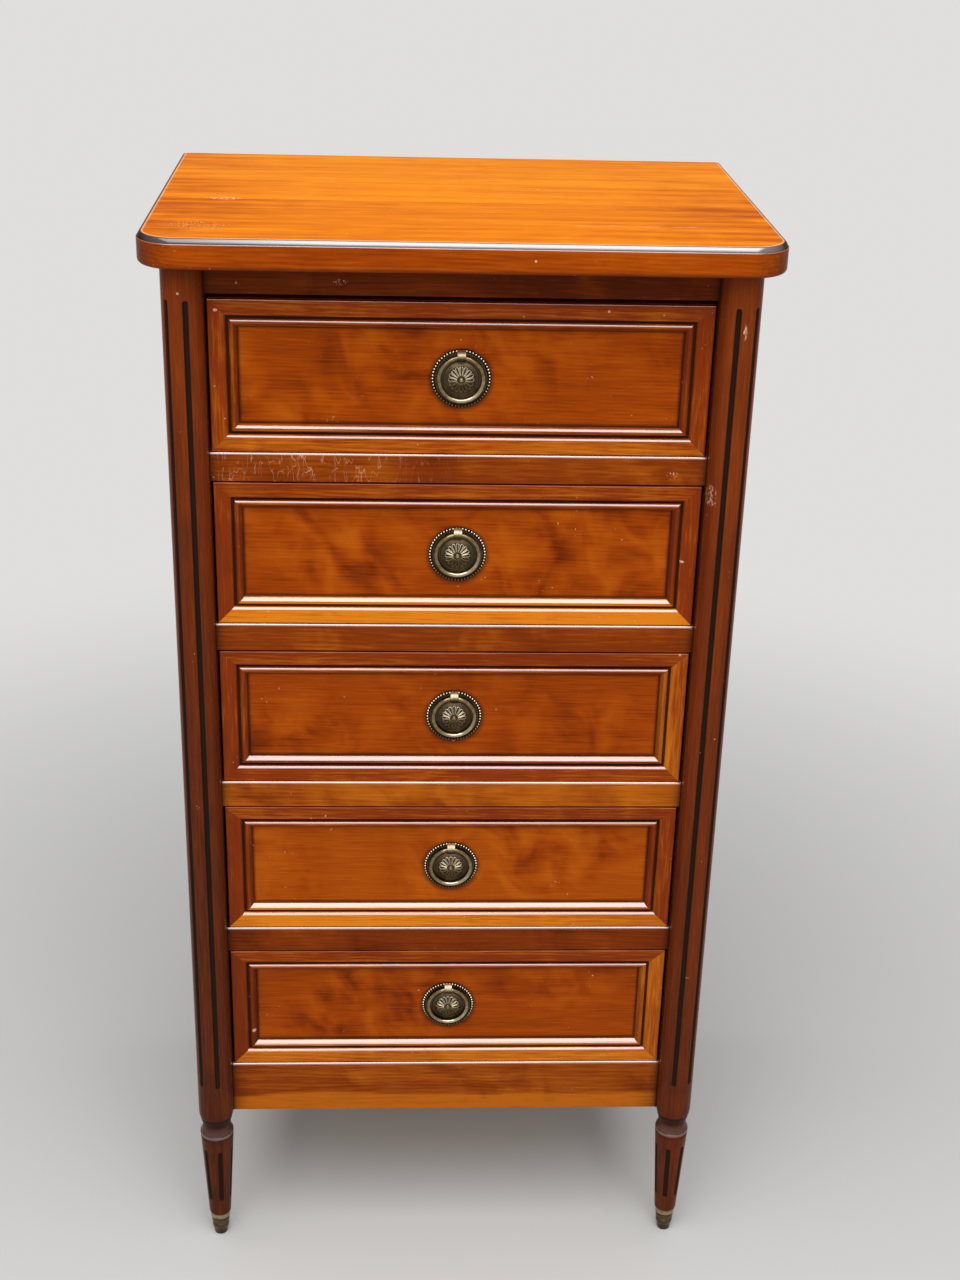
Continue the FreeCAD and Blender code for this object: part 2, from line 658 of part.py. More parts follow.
# Ring pull: radii of the ring, and how far its wire dips inside the width of the lug
RING_OUTER_R = "sizes.ring_outer_diameter / 2"
RING_MEAN_R = f"({RING_OUTER_R} - sizes.ring_wire / 2)"
RING_Y = f"({BOARD_FRONT} - sizes.plate_seat_height - sizes.ring_gap - sizes.ring_wire / 2)"
EYE_SAG = f"({RING_MEAN_R} - sqrt({RING_MEAN_R} ^ 2 - (sizes.lug_width / 2) ^ 2))"

# Axes of a moulding strip at each side of a drawer front: forward, inward and along the strip
STRIP_SIDES = {
    "bottom": ((0, -1, 0), (0, 0, 1), (-1, 0, 0)),
    "top": ((0, -1, 0), (0, 0, -1), (1, 0, 0)),
    "left": ((0, -1, 0), (1, 0, 0), (0, 0, 1)),
    "right": ((0, -1, 0), (-1, 0, 0), (0, 0, -1)),
}


def moulding_strip(name, side, length, x, z):
    """Strip of the drawer moulding with mitred ends, along one side of the front from a corner at x and z.

    Its section lies in X, forward from the front board, and Y, inward from the drawer's edge: a border that
    falls towards a round arris, a quirk, and a bead with a round nose and a slope down to the panel.
    """
    body = doc.addObject("PartDesign::Body", f"{name}_strip")
    crest = "(sizes.moulding_depth - sizes.border_fall)"
    bead_start = "(sizes.border_width + sizes.quirk_width)"
    points = [
        ("0", "0"),
        ("sizes.moulding_depth", "0"),
        (crest, "sizes.border_width - sizes.border_arris"),
        (f"{crest} - sizes.border_arris", "sizes.border_width"),
        ("sizes.quirk_floor", "sizes.border_width"),
        ("sizes.quirk_floor", bead_start),
        ("sizes.bead_height - sizes.bead_nose", bead_start),
        ("sizes.bead_height", f"{bead_start} + sizes.bead_nose"),
        ("sizes.bead_height", f"{MOULDING_WIDTH} - sizes.bead_slope"),
        ("sizes.bead_foot", MOULDING_WIDTH),
        ("0", MOULDING_WIDTH),
    ]
    bends = {2: "sizes.border_arris", 6: "sizes.bead_nose"}
    section = outline(body, f"{name}_section", "XY_Plane", points, bends)
    pad = body.newObject("PartDesign::Pad", f"{name}_pad")
    pad.Profile = section
    pad.setExpression("Length", length)
    body.Tip = pad
    mitre = doc.addObject("Part::Wedge", f"{name}_mitre")
    limits = {"Xmin": "0", "Ymin": "0", "Zmin": "0", "X2min": "0", "Z2min": MOULDING_WIDTH,
              "Xmax": "sizes.moulding_depth", "Ymax": MOULDING_WIDTH, "Zmax": length,
              "X2max": "sizes.moulding_depth", "Z2max": f"{length} - {MOULDING_WIDTH}"}
    for limit, expression in limits.items():
        mitre.setExpression(limit, expression)
    axes = [FreeCAD.Vector(*axis) for axis in STRIP_SIDES[side]]
    for shape in (body, mitre):
        shape.Placement = FreeCAD.Placement(FreeCAD.Vector(), FreeCAD.Rotation(*axes, "ZXY"))
        place(shape, x, BOARD_FRONT, z)
    strip = doc.addObject("Part::Common", name)
    strip.Base = body
    strip.Tool = mitre
    return strip


def drawer_moulding(drawer, low):
    """Four mitred strips round a drawer front."""
    width = f"(2 * {DRAWER_HALF})"
    high = f"({low} + {DRAWER_HEIGHT})"
    corners = {"bottom": (width, DRAWER_HALF, low), "top": (width, f"-{DRAWER_HALF}", high),
               "left": (DRAWER_HEIGHT, f"-{DRAWER_HALF}", low), "right": (DRAWER_HEIGHT, DRAWER_HALF, high)}
    strips = [moulding_strip(f"{drawer}_{side}_strip", side, *corner) for side, corner in corners.items()]
    keep(group(f"{drawer}_strips", strips), f"{drawer}_moulding")


def rod_along_y(name, radius, z, front, back):
    """Rod that runs back through the middle of a drawer front."""
    rod = cylinder(name, radius, f"({back}) - ({front})")
    return place(turn(rod, (1, 0, 0), -90), "0", front, z)


def drawer_box(drawer, low):
    """Front board, sides, back and bottom of a drawer; the bottom is grooved in and runs under the back."""
    board_top = f"({low} + {DRAWER_HEIGHT})"
    side_top = f"({board_top} - sizes.drawer_side_drop)"
    floor = f"({low} - sizes.drawer_lift + sizes.stop_height + sizes.bottom_gap)"
    floor_top = f"({floor} + sizes.bottom_thickness)"
    groove_z = (f"{floor} - sizes.joint_gap", f"{floor_top} + sizes.joint_gap")
    groove_x = f"({DRAWER_INNER} + sizes.groove_depth)"
    groove_front = f"({BOARD_BACK} - sizes.groove_depth)"
    pull_z = f"({low} + {PULL_RISE})"

    board = box(f"{drawer}_board", (f"-{DRAWER_HALF}", DRAWER_HALF), (BOARD_FRONT, BOARD_BACK),
                (low, board_top))
    groove = box(f"{drawer}_board_groove", (f"-{groove_x}", groove_x), (groove_front, BOARD_BACK), groove_z)
    bore = rod_along_y(f"{drawer}_bolt_bore", "sizes.bolt_diameter / 2 + sizes.bolt_gap", pull_z,
                       BOARD_FRONT, BOARD_BACK)
    keep(cut(f"{drawer}_board_cut", board, [groove, bore]), f"{drawer}_front_board")

    sides = []
    for side, hand in HANDS:
        length = (BOARD_BACK, DRAWER_BACK)
        plank = box(f"{drawer}_{hand}_plank", mirrored(side, DRAWER_INNER, DRAWER_HALF), length,
                    (low, side_top))
        slot = box(f"{drawer}_{hand}_groove", mirrored(side, DRAWER_INNER, groove_x), length, groove_z)
        sides.append(cut(f"{drawer}_{hand}_side", plank, [slot]))
    keep(group(f"{drawer}_side_pair", sides), f"{drawer}_sides")

    keep(box(f"{drawer}_back_plank", (f"-{DRAWER_INNER}", DRAWER_INNER),
             (f"{DRAWER_BACK} - sizes.drawer_back_thickness", DRAWER_BACK), (floor_top, side_top)),
         f"{drawer}_back")
    bottom_x = f"({groove_x} - sizes.joint_gap)"
    keep(box(f"{drawer}_bottom_board", (f"-{bottom_x}", bottom_x),
             (f"{groove_front} + sizes.joint_gap", DRAWER_BACK), (floor, floor_top)), f"{drawer}_bottom")


def ring_pull(drawer, middle):
    """Plate with a domed boss and a lug, the ring that swings in the lug, and the bolt and nut of the plate."""
    plate_r = f"({RING_OUTER_R} + sizes.plate_margin + sizes.plate_rim_width)"
    rim_inner = f"({RING_OUTER_R} + sizes.plate_margin)"
    boss_r = f"({RING_OUTER_R} - sizes.ring_wire - sizes.boss_margin)"
    button_r = "sizes.button_diameter / 2"
    dome_bend = arc_radius("sizes.boss_height - sizes.boss_edge", boss_r)
    dome_at_button = f"(sizes.boss_height - {dome_bend} + sqrt({dome_bend} ^ 2 - ({button_r}) ^ 2))"
    points = [
        ("0", "0"),
        (plate_r, "0"),
        (plate_r, "sizes.plate_rim_height"),
        (rim_inner, "sizes.plate_rim_height"),
        (rim_inner, "sizes.plate_seat_height"),
        (boss_r, "sizes.plate_seat_height"),
        (boss_r, "sizes.boss_edge"),
        (button_r, dome_at_button),
        (button_r, "sizes.button_height"),
        ("0", "sizes.button_height"),
    ]
    disc = revolved(f"{drawer}_disc", points, {6: dome_bend})
    place(turn(disc, (1, 0, 0), 90), "0", BOARD_FRONT, middle)
    eye_z = f"({middle} + {RING_MEAN_R})"
    bore_r = f"({EYE_SAG} + sizes.ring_wire / 2 + sizes.ring_gap)"
    lug_r = f"({bore_r} + sizes.lug_wall)"
    half_lug = "sizes.lug_width / 2"
    lug = cylinder(f"{drawer}_lug", lug_r, "sizes.lug_width")
    place(turn(lug, (0, 1, 0), 90), f"-{half_lug}", RING_Y, eye_z)
    bore = cylinder(f"{drawer}_lug_bore", bore_r, "sizes.lug_width")
    place(turn(bore, (0, 1, 0), 90), f"-{half_lug}", RING_Y, eye_z)
    behind = box(f"{drawer}_lug_trim", (f"-{half_lug}", half_lug), (BOARD_FRONT, f"{BOARD_FRONT} + {lug_r}"),
                 (f"{eye_z} - {lug_r}", f"{eye_z} + {lug_r}"))
    plate = fuse(f"{drawer}_plate_blank", [disc, lug])
    clearance = fuse(f"{drawer}_plate_tools", [bore, behind])
    keep(cut(f"{drawer}_plate_cut", plate, [clearance]), f"{drawer}_pull_plate")

    ring = doc.addObject("Part::Torus", f"{drawer}_ring")
    ring.setExpression("Radius1", RING_MEAN_R)
    ring.setExpression("Radius2", "sizes.ring_wire / 2")
    place(turn(ring, (1, 0, 0), 90), "0", RING_Y, middle)
    keep(ring, f"{drawer}_pull_ring")

    nut_back = f"({BOARD_BACK} + sizes.nut_height)"
    bolt = rod_along_y(f"{drawer}_stud", "sizes.bolt_diameter / 2", middle, BOARD_FRONT,
                       f"{nut_back} + sizes.bolt_tail")
    hexagon = doc.addObject("Part::Prism", f"{drawer}_hexagon")
    hexagon.Polygon = 6
    hexagon.setExpression("Circumradius", "sizes.nut_width / 2 / cos(30)")
    hexagon.setExpression("Height", "sizes.nut_height")
    place(turn(hexagon, (1, 0, 0), -90), "0", BOARD_BACK, middle)
    thread = rod_along_y(f"{drawer}_nut_bore", "sizes.bolt_diameter / 2 + sizes.joint_gap", middle,
                         BOARD_BACK, nut_back)
    nut = cut(f"{drawer}_nut", hexagon, [thread])
    keep(group(f"{drawer}_bolt_set", [bolt, nut]), f"{drawer}_pull_bolt")


for hand_side, hand_name in HANDS:
    front_post(hand_side, hand_name)
    rear_post(hand_side, hand_name)
    side_panel(hand_side, hand_name)
front_rails()
back_frame()
runners_and_stops()
top_board(top_cleats_and_screws())
sabots()
for drawer_number in range(1, DRAWERS + 1):
    drawer_name = f"drawer_{drawer_number}"
    drawer_low = f"({level_z(drawer_number)} + sizes.drawer_lift)"
    drawer_moulding(drawer_name, drawer_low)
    drawer_box(drawer_name, drawer_low)
    ring_pull(drawer_name, f"({drawer_low} + {PULL_RISE})")

doc.recompute()
for item in doc.Objects:
    if "Invalid" in item.State or "Error" in item.State:
        raise RuntimeError(f"{item.Label} failed: {item.State}")
for item in nodes:
    if item.Shape.isNull() or not item.Shape.isValid():
        raise RuntimeError(f"{item.Label} has no valid shape")
for item in nodes:
    item.Shape.exportStep(f"parts/{item.Label}.step")
    print(item.Label, len(item.Shape.Solids), round(item.Shape.Volume))
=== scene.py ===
import json
import math

import bpy
import numpy as np
from mathutils import Matrix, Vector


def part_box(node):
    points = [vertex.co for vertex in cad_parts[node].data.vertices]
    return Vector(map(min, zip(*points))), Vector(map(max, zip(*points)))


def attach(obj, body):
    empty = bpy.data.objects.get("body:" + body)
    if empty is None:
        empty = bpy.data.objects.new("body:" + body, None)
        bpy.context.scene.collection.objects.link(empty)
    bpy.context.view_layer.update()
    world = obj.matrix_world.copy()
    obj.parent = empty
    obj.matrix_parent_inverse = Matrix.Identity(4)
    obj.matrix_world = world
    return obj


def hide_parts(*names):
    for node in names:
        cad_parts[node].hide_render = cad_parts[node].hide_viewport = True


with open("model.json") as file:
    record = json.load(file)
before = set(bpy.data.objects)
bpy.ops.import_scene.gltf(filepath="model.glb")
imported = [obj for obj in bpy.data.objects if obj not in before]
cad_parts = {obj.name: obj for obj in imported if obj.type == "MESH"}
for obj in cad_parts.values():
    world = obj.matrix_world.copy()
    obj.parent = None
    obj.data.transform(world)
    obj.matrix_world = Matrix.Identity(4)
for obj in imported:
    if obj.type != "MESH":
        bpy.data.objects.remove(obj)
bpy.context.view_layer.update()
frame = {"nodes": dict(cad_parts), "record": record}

# Lengths in this script are millimetres until a piece is made
MM = 0.001
DRAWERS = range(1, 6)
HANDS = ("left", "right")


def node_box(node):
    """Lowest and highest corner of a node of the frame, in millimetres."""
    low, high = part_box(node)
    return np.array(low) / MM, np.array(high) / MM


def between(places, pairs):
    """Value at each place, on straight runs between pairs of a place and its value."""
    return np.interp(places, *np.transpose(pairs))


# Surfaces

class Shell:
    """One closed surface: points, faces, a finish for each face, and values that its points carry."""

    def __init__(self, points, faces, finish, values):
        self.points = np.asarray(points, float).reshape(-1, 3)
        self.faces = faces if self.volume(faces) > 0 else [face[::-1] for face in faces]
        self.finish = np.broadcast_to(finish, len(faces))
        self.values = values

    def volume(self, faces):
        """Six times the enclosed volume: the sum over a fan of triangles of each one's triple product."""
        fan = [(face[0], face[k], face[k + 1]) for face in faces for k in range(1, len(face) - 1)]
        a, b, c = (self.points[np.array(fan)[:, k]] for k in range(3))
        return np.einsum("ij,ij->", a - self.points[0], np.cross(b - self.points[0], c - self.points[0]))


def tube(grid, finish=0, ring=False, **values):
    """Closed surface over a grid of points whose columns run round it.

    Its end rows are capped flat, or joined to each other if it is a ring. The finish is one number, or one
    for each band between rows followed by one for each cap.
    """
    rows, columns = grid.shape[:2]
    bands = rows if ring else rows - 1
    row, column = np.meshgrid(np.arange(bands), np.arange(columns), indexing="ij")
    here, after = row * columns, (row + 1) % rows * columns
    beside = (column + 1) % columns
    corners = np.stack([here + column, here + beside, after + beside, after + column], -1)
    faces = corners.reshape(-1, 4).tolist()
    if np.ndim(finish):
        finish = np.concatenate([np.repeat(finish[:bands], columns), finish[bands:]])
    if not ring:
        faces.append(list(range(columns))[::-1])
        faces.append(list(range((rows - 1) * columns, rows * columns)))
    spread = {name: np.broadcast_to(value, (rows, columns)).ravel() for name, value in values.items()}
    return Shell(grid, faces, finish, spread)


def make_piece(name, shells, body, finishes, nodes=(), crease=32):
    """Piece of the object from shells given in millimetres; it rides on a body and stands for CAD nodes."""
    starts = np.cumsum([0] + [len(shell.points) for shell in shells])
    faces = [[corner + start for corner in face]
             for shell, start in zip(shells, starts) for face in shell.faces]
    points = np.concatenate([shell.points for shell in shells]) * MM
    face_finishes = np.concatenate([shell.finish for shell in shells])
    mesh = bpy.data.meshes.new(name)
    mesh.from_pydata(points.tolist(), [], faces)
    mesh.polygons.foreach_set("use_smooth", np.ones(len(faces), bool))
    mesh.polygons.foreach_set("material_index", face_finishes.astype(np.int32))
    mesh.set_sharp_from_angle(angle=math.radians(crease))
    for field in sorted({field for shell in shells for field in shell.values}):
        given = [shell.values.get(field, np.zeros(len(shell.points))) for shell in shells]
        attribute = mesh.attributes.new(field, "FLOAT", "POINT")
        attribute.data.foreach_set("value", np.concatenate(given).astype(np.float32))
    for finish in finishes:
        mesh.materials.append(finish)
    mesh.update()
    piece = bpy.data.objects.new(name, mesh)
    bpy.context.scene.collection.objects.link(piece)
    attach(piece, body)
    if nodes:
        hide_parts(*nodes)
    return piece


def arc(centre, radius, start, end, count):
    """Points on a circle from a start to an end angle in degrees."""
    angle = np.radians(np.linspace(start, end, count))
    return np.stack([centre[0] + radius * np.cos(angle), centre[1] + radius * np.sin(angle)], -1)


# Points on the round at each corner of a soft rectangle
ROUND_STEPS = 6


def soft_rectangle(low, high, rounds, steps=ROUND_STEPS, lead=0.4):
    """Outline of a rectangle with a quarter round at each corner, from the low-low corner round.

    A point stands a little before and after each round, so that the flats stay flat when shaded.
    """
    (x0, y0), (x1, y1) = low, high
    corners = ((x0, y0, 1, 1, 180), (x1, y0, -1, 1, 270), (x1, y1, -1, -1, 0), (x0, y1, 1, -1, 90))
    runs = []
    for (x, y, inward_x, inward_y, turn), radius in zip(corners, rounds):
        bend = arc((x + inward_x * radius, y + inward_y * radius), radius, turn, turn + 90, steps)
        sine, cosine = math.sin(math.radians(turn)), math.cos(math.radians(turn))
        before = bend[0] - lead * np.array([-sine, cosine])
        after = bend[-1] + lead * np.array([-cosine, -sine])
        runs.append(np.concatenate([before[None], bend, after[None]]))
    return np.concatenate(runs)


def corner_values(steps, corners, flat=0.0):
    """Values round a soft rectangle: one for each corner's round, and another for the points on the flats."""
    return np.concatenate([[flat] + [corner] * steps + [flat] for corner in corners])


def bar(axis, section, stations, finish=0, **values):
    """Outline carried straight along X, Y or Z (0, 1 or 2) through stations; it lies in the next two axes."""
    grid = np.zeros((len(stations), len(section), 3))
    grid[..., axis] = np.asarray(stations)[:, None]
    grid[..., (axis + 1) % 3] = section[:, 0]
    grid[..., (axis + 2) % 3] = section[:, 1]
    return tube(grid, finish, **values)


def turned(centre, radius, height, angle, finish=0, **values):
    """Turned piece: x and y are the centre plus the radius times the angle's cosine and sine, z the height.

    The radius is one number for each height, or one for each height and angle.
    """
    radius = np.broadcast_to(radius if np.ndim(radius) == 2 else np.asarray(radius)[:, None],
                             (len(height), len(angle)))
    x = centre[0] + radius * np.cos(angle)
    y = centre[1] + radius * np.sin(angle)
    z = np.broadcast_to(np.asarray(height)[:, None], radius.shape)
    return tube(np.stack([x, y, z], -1), finish, **values)


# Shader nodes

class Wire:
    """An output socket in a material's node tree. Arithmetic on wires adds Math nodes."""

    def __init__(self, tree, socket=None):
        self.tree = tree
        self.socket = socket

    def node(self, kind, settings=None, inputs=None, out=0):
        """Add a node: its settings are set first, then its sockets get values or links; gives one output."""
        made = self.tree.nodes.new(kind)
        for key, setting in (settings or {}).items():
            if key == "stops":
                ramp = made.color_ramp.elements
                while len(ramp) < len(setting):
                    ramp.new(1.0)
                for stop, (place, colour) in zip(ramp, setting):
                    stop.position = place
                    stop.color = (*colour, 1.0)
            else:
                setattr(made, key, setting)
        for key, given in (inputs or {}).items():
            if isinstance(given, Wire):
                self.tree.links.new(given.socket, made.inputs[key])
            else:
                made.inputs[key].default_value = given
        return Wire(self.tree, made.outputs[out])

    def math(self, operation, *others):
        """Math node with this wire as its first term."""
        return self.node("ShaderNodeMath", {"operation": operation}, dict(enumerate((self, *others))))

    def __add__(self, other):
        return self.math("ADD", other)

    def __sub__(self, other):
        return self.math("SUBTRACT", other)

    def __rsub__(self, other):
        return self.node("ShaderNodeMath", {"operation": "SUBTRACT"}, {0: other, 1: self})

    def __mul__(self, other):
        return self.math("MULTIPLY", other)

    __radd__ = __add__
    __rmul__ = __mul__

    def step(self, low, high):
        """Smooth rise from 0 at low to 1 at high."""
        return self.node("ShaderNodeMapRange", {"interpolation_type": "SMOOTHSTEP"},
                         {"Value": self, "From Min": low, "From Max": high})

    def stretch(self, *scale, turn=(0.0, 0.0, 0.0)):
        """Coordinates turned, then scaled along each axis."""
        turned_round = self.node("ShaderNodeMapping", {}, {"Vector": self, "Rotation": turn})
        return self.node("ShaderNodeVectorMath", {"operation": "MULTIPLY"}, {0: turned_round, 1: scale})

    def noise(self, scale, detail=2.0, rough=0.5, twist=0.0):
        """Noise at these coordinates, about 0 on average."""
        inputs = {"Vector": self, "Scale": scale, "Detail": detail, "Roughness": rough, "Distortion": twist}
        return self.node("ShaderNodeTexNoise", {}, inputs) - 0.5

    def ramp(self, *stops):
        """Colour between stops, each a place and its colour."""
        return self.node("ShaderNodeValToRGB", {"stops": stops}, {0: self})

    def mix(self, colour, other):
        """Colour where this is 0 and the other colour where it is 1."""
        return self.node("ShaderNodeMix", {"data_type": "RGBA"}, {0: self, 6: colour, 7: other}, out=2)

    def field(self, name):
        """A value that the piece's own points carry."""
        return self.node("ShaderNodeAttribute", {"attribute_name": name}, out="Fac")

    def vector(self, operation, other):
        """Vector arithmetic with another vector."""
        return self.node("ShaderNodeVectorMath", {"operation": operation}, {0: self, 1: other})

    def length(self):
        return self.node("ShaderNodeVectorMath", {"operation": "LENGTH"}, {0: self}, out="Value")

    def axis(self, index):
        return self.node("ShaderNodeSeparateXYZ", {}, {0: self}, out=index)


def new_material(name):
    """Empty material, its shader, and a wire of the piece's own coordinates in metres."""
    material = bpy.data.materials.new(name)
    material.use_nodes = True
    tree = material.node_tree
    shader = tree.nodes["Principled BSDF"]
    return material, shader, Wire(tree).node("ShaderNodeTexCoord", out="Object")


def connect(shader, **wires):
    """Link wires to the shader's sockets, named with underscores for spaces."""
    for socket, wire in wires.items():
        wire.tree.links.new(wire.socket, shader.inputs[socket.replace("_", " ")])


def bump(height, strength, distance):
    """Normal tilted by a height, whose full range stands for a distance in metres."""
    return height.node("ShaderNodeBump", {}, {"Height": height, "Strength": strength, "Distance": distance})


# Cherry

# Dark colour for real stain and for painted shade, mixed in by the stain-and-shade value
DARK_STAIN_AND_SHADE = (0.018, 0.008, 0.005, 1.0)
BARE_WOOD = (0.78, 0.52, 0.34, 1.0)
# Patterns are drawn out along the grain: coordinates along it are scaled by this
GRAIN_STRETCH = 0.05
GRAIN_AXES = {"x": (GRAIN_STRETCH, 1.0, 1.0), "y": (1.0, GRAIN_STRETCH, 1.0), "z": (1.0, 1.0, GRAIN_STRETCH)}
# Fineness of each pattern, in cells of noise to the metre
FIBRE_SCALE = 560.0
STREAK_SCALE = 75.0
CLOUD_SCALE = 28.0
FIGURE_SCALE = 7.0
SWAY_SCALE = 26.0
RUBBED_SCALE = 23.0
CHIP_SCALE = 260.0
FLECK_SCALE = 620.0


def worn_patch(at, place, reach, pull=(1.0, 1.0, 1.0), bare=0.0, strength=1.0):
    """Flecks of bare wood inside an ellipsoid, with its place and reach in millimetres.

    The flecks are drawn out by pull, more of the patch is bare as bare grows, and all fade with their
    strength.
    """
    offset = at.vector("SUBTRACT", [length * MM for length in place])
    away = offset.vector("DIVIDE", [length * MM for length in reach]).length()
    fleck = at.stretch(*pull).noise(FLECK_SCALE, rough=0.6).step(0.07 - bare, 0.13 - bare)
    return away.step(1.0, 0.6) * fleck * strength


def ring_waves(timber, along, pitch):
    """Yearly rings cut lengthwise: a sine across the grain, one wave to a pitch, that sways along it."""
    sway_axes = [0.22 if scale < 1 else 1.0 for scale in GRAIN_AXES[along]]
    sway = timber.stretch(*sway_axes).noise(SWAY_SCALE, detail=1.0, rough=0.4)
    across, length = (0, 2) if along == "z" else (2, 0)
    slant = timber.axis(across) + timber.axis(length) * 0.03
    return (slant * (2 * math.pi / (pitch * MM)) + sway * 22.0).math("SINE")


def lacquered_wood(name, along, tones, fibres=0.7, streaks=0.7, clouds=0.5, rings=0.0, ring_pitch=5.0,
                   gloss=0.26, sheen=0.05, polish_ior=2.4, patches=(), edge=None, board=None, paler=None,
                   scratches=None):
    """Lacquered cherry with its grain along an axis, dark where the piece's stain value is 1, which stands
    for stain and for painted shade.

    Tones are the dark, middle and light colour. The place between them is the sum of fine fibres, long
    streaks, soft clouds of figure, wavy rings and the piece's own tone value. Polished places carry a harder
    coat, and the piece's bare value rubs it down to bare wood.
    """
    material, shader, at = new_material(name)
    timber = at
    level = 0.5 + at.field("tone") * 0.3
    if board:
        # The second board is cut from another stretch of the same grain
        which = board(at)
        timber = at.vector("ADD", at.node("ShaderNodeCombineXYZ", {}, {0: which * 0.9, 2: which * 0.4}))
        level = level + which * 0.12
    if paler:
        level = level + paler(at) * 0.16
    lengthwise = timber.stretch(*GRAIN_AXES[along])
    fibre = lengthwise.noise(FIBRE_SCALE, detail=3.0, rough=0.65)
    streak = lengthwise.noise(STREAK_SCALE, detail=3.0, rough=0.55)
    leaning = timber.stretch(1.0, 1.0, 0.75, turn=(0.0, 0.55, 0.0))
    cloud = leaning.noise(CLOUD_SCALE, rough=0.55, twist=0.5)
    figured = timber.noise(FIGURE_SCALE, detail=1.0).step(-0.12, 0.1)
    level = level + fibre * fibres + streak * streaks + cloud * figured * clouds
    if rings:
        level = level + ring_waves(timber, along, ring_pitch) * rings
    # Dark for stain, and painted shade in quirks, turnings, under the top, at rail ends and round the pulls
    stain = at.field("stain")
    if edge:
        stain = stain.math("MAXIMUM", edge(at))
    colour = stain.mix(level.ramp((0.14, tones[0]), (0.5, tones[1]), (0.86, tones[2])), DARK_STAIN_AND_SHADE)
    rubbed = at.noise(RUBBED_SCALE, detail=1.0).step(0.06, 0.2)
    chips = at.noise(CHIP_SCALE, rough=0.6).step(0.215, 0.25) * rubbed
    bare = at.field("bare").math("MAXIMUM", chips)
    for patch in patches:
        bare = bare.math("MAXIMUM", worn_patch(at, **patch))
    if scratches:
        bare = bare.math("MAXIMUM", scratches(at))
    colour = (bare * 0.8).mix(colour, BARE_WOOD)
    rough = gloss + fibre * 0.12 + stain * 0.15 + bare * 0.35
    connect(shader, Base_Color=colour, Roughness=rough, Coat_Weight=at.field("polish"),
            Normal=bump(fibre * 0.6 + streak * 0.4, 0.05, 0.0004))
    shader.inputs["Specular IOR Level"].default_value = sheen
    shader.inputs["Coat IOR"].default_value = polish_ior
    shader.inputs["Coat Roughness"].default_value = 0.18
    return material


# Dark, middle and light colour of each board
CHERRY_TOP = ((0.38, 0.070, 0.0005), (0.63, 0.160, 0.0005), (0.76, 0.245, 0.003))
CHERRY_FASCIA = ((0.15, 0.019, 0.001), (0.32, 0.050, 0.001), (0.46, 0.088, 0.003))
CHERRY_PANEL = ((0.13, 0.015, 0.0008), (0.335, 0.051, 0.001), (0.48, 0.100, 0.003))
CHERRY_FRAME = ((0.12, 0.014, 0.001), (0.255, 0.034, 0.001), (0.72, 0.205, 0.008))
CHERRY_RAIL = ((0.10, 0.014, 0.001), (0.235, 0.037, 0.002), (0.50, 0.125, 0.006))
CHERRY_POST = ((0.070, 0.0175, 0.0070), (0.17, 0.029, 0.005), (0.28, 0.051, 0.006))

TOP_JOINT = -30.0
DRAWER_PITCH = 165.0
LOWEST_DRAWER = node_box("drawer_5_moulding")
MOULDING_WIDTH = 24.4
PLATE_RADIUS = 26.3
# The painted shadow round a pull lies this far below the middle of the panel
PULL_SHADOW_DROP = 2.6


def two_boards(at):
    """0 on the front board of the top and 1 on the back board."""
    return at.axis(1).step((TOP_JOINT - 0.4) * MM, (TOP_JOINT + 0.4) * MM)


def top_joint(at):
    """Thin dark line where the two boards of the top meet."""
    return (at.axis(1) - TOP_JOINT * MM).math("ABSOLUTE").step(0.0007, 0.0002) * 0.35


def painted_panel_shade(at):
    """Painted shade along the edges of each drawer panel and a painted shadow round its pull, by the distance
    from each.
    """
    low, high = LOWEST_DRAWER
    from_side = (high[0] - MOULDING_WIDTH) * MM - at.axis(0).math("ABSOLUTE")
    lift = at.axis(2) - (low[2] + MOULDING_WIDTH) * MM
    half_height = (high[2] - low[2] - 2 * MOULDING_WIDTH) / 2 * MM
    from_middle = lift.math("FLOORED_MODULO", DRAWER_PITCH * MM) - half_height
    nearest = from_side.math("MINIMUM", half_height - from_middle.math("ABSOLUTE"))
    # Painted shadow round the pull, set a little below it
    below = from_middle + PULL_SHADOW_DROP * MM
    from_pull = (at.axis(0) * at.axis(0) + below * below).math("SQRT") - PLATE_RADIUS * MM
    return (nearest.step(0.0035, 0.0) * 0.75).math("MAXIMUM", from_pull.step(0.005, -0.001) * 0.6)


def top_ends(at):
    """Below 0 in streaks towards the two ends of the top, where the lacquer has darkened."""
    streaky = at.stretch(0.35, 1.0, 1.0).noise(20.0, detail=3.0, rough=0.6).step(-0.12, 0.2)
    return at.axis(0).math("ABSOLUTE").step(0.12, 0.27) * streaky * -2.0


def on_level(at, node):
    """1 at the heights that a node takes up, and 0 a millimetre above and below it."""
    low, high = (corner[2] * MM for corner in node_box(node))
    return at.axis(2).step(low - MM, low) * at.axis(2).step(high + MM, high)


def paler_panel(at):
    """1 on the panel of the fourth drawer, which is a paler board."""
    return on_level(at, "drawer_4_front_board")


def apron_sapwood(at):
    """Above 0 on the pale wavy band along the foot of the apron."""
    sway = at.stretch(0.4, 1.0, 1.0).noise(16.0, detail=1.0, rough=0.4) * 0.02
    return (at.axis(2) + sway).step(0.175, 0.169) * 1.8


def rail_scratches(at):
    """Curved hairlines on the left half of the uppermost divider, where either of two noises is near 0."""
    to_left = at.axis(0).step(0.02, -0.12)
    steep, slanting = (
        at.stretch(1.0, 1.0, squeeze).noise(scale, detail=1.0, rough=0.4).math("ABSOLUTE").step(0.011, 0.002)
        for squeeze, scale in ((0.16, 170.0), (0.4, 120.0)))
    broken = at.noise(90.0, detail=1.0).step(-0.08, 0.08)
    return steep.math("MAXIMUM", slanting) * broken * on_level(at, "divider_rail_1") * to_left * 0.5


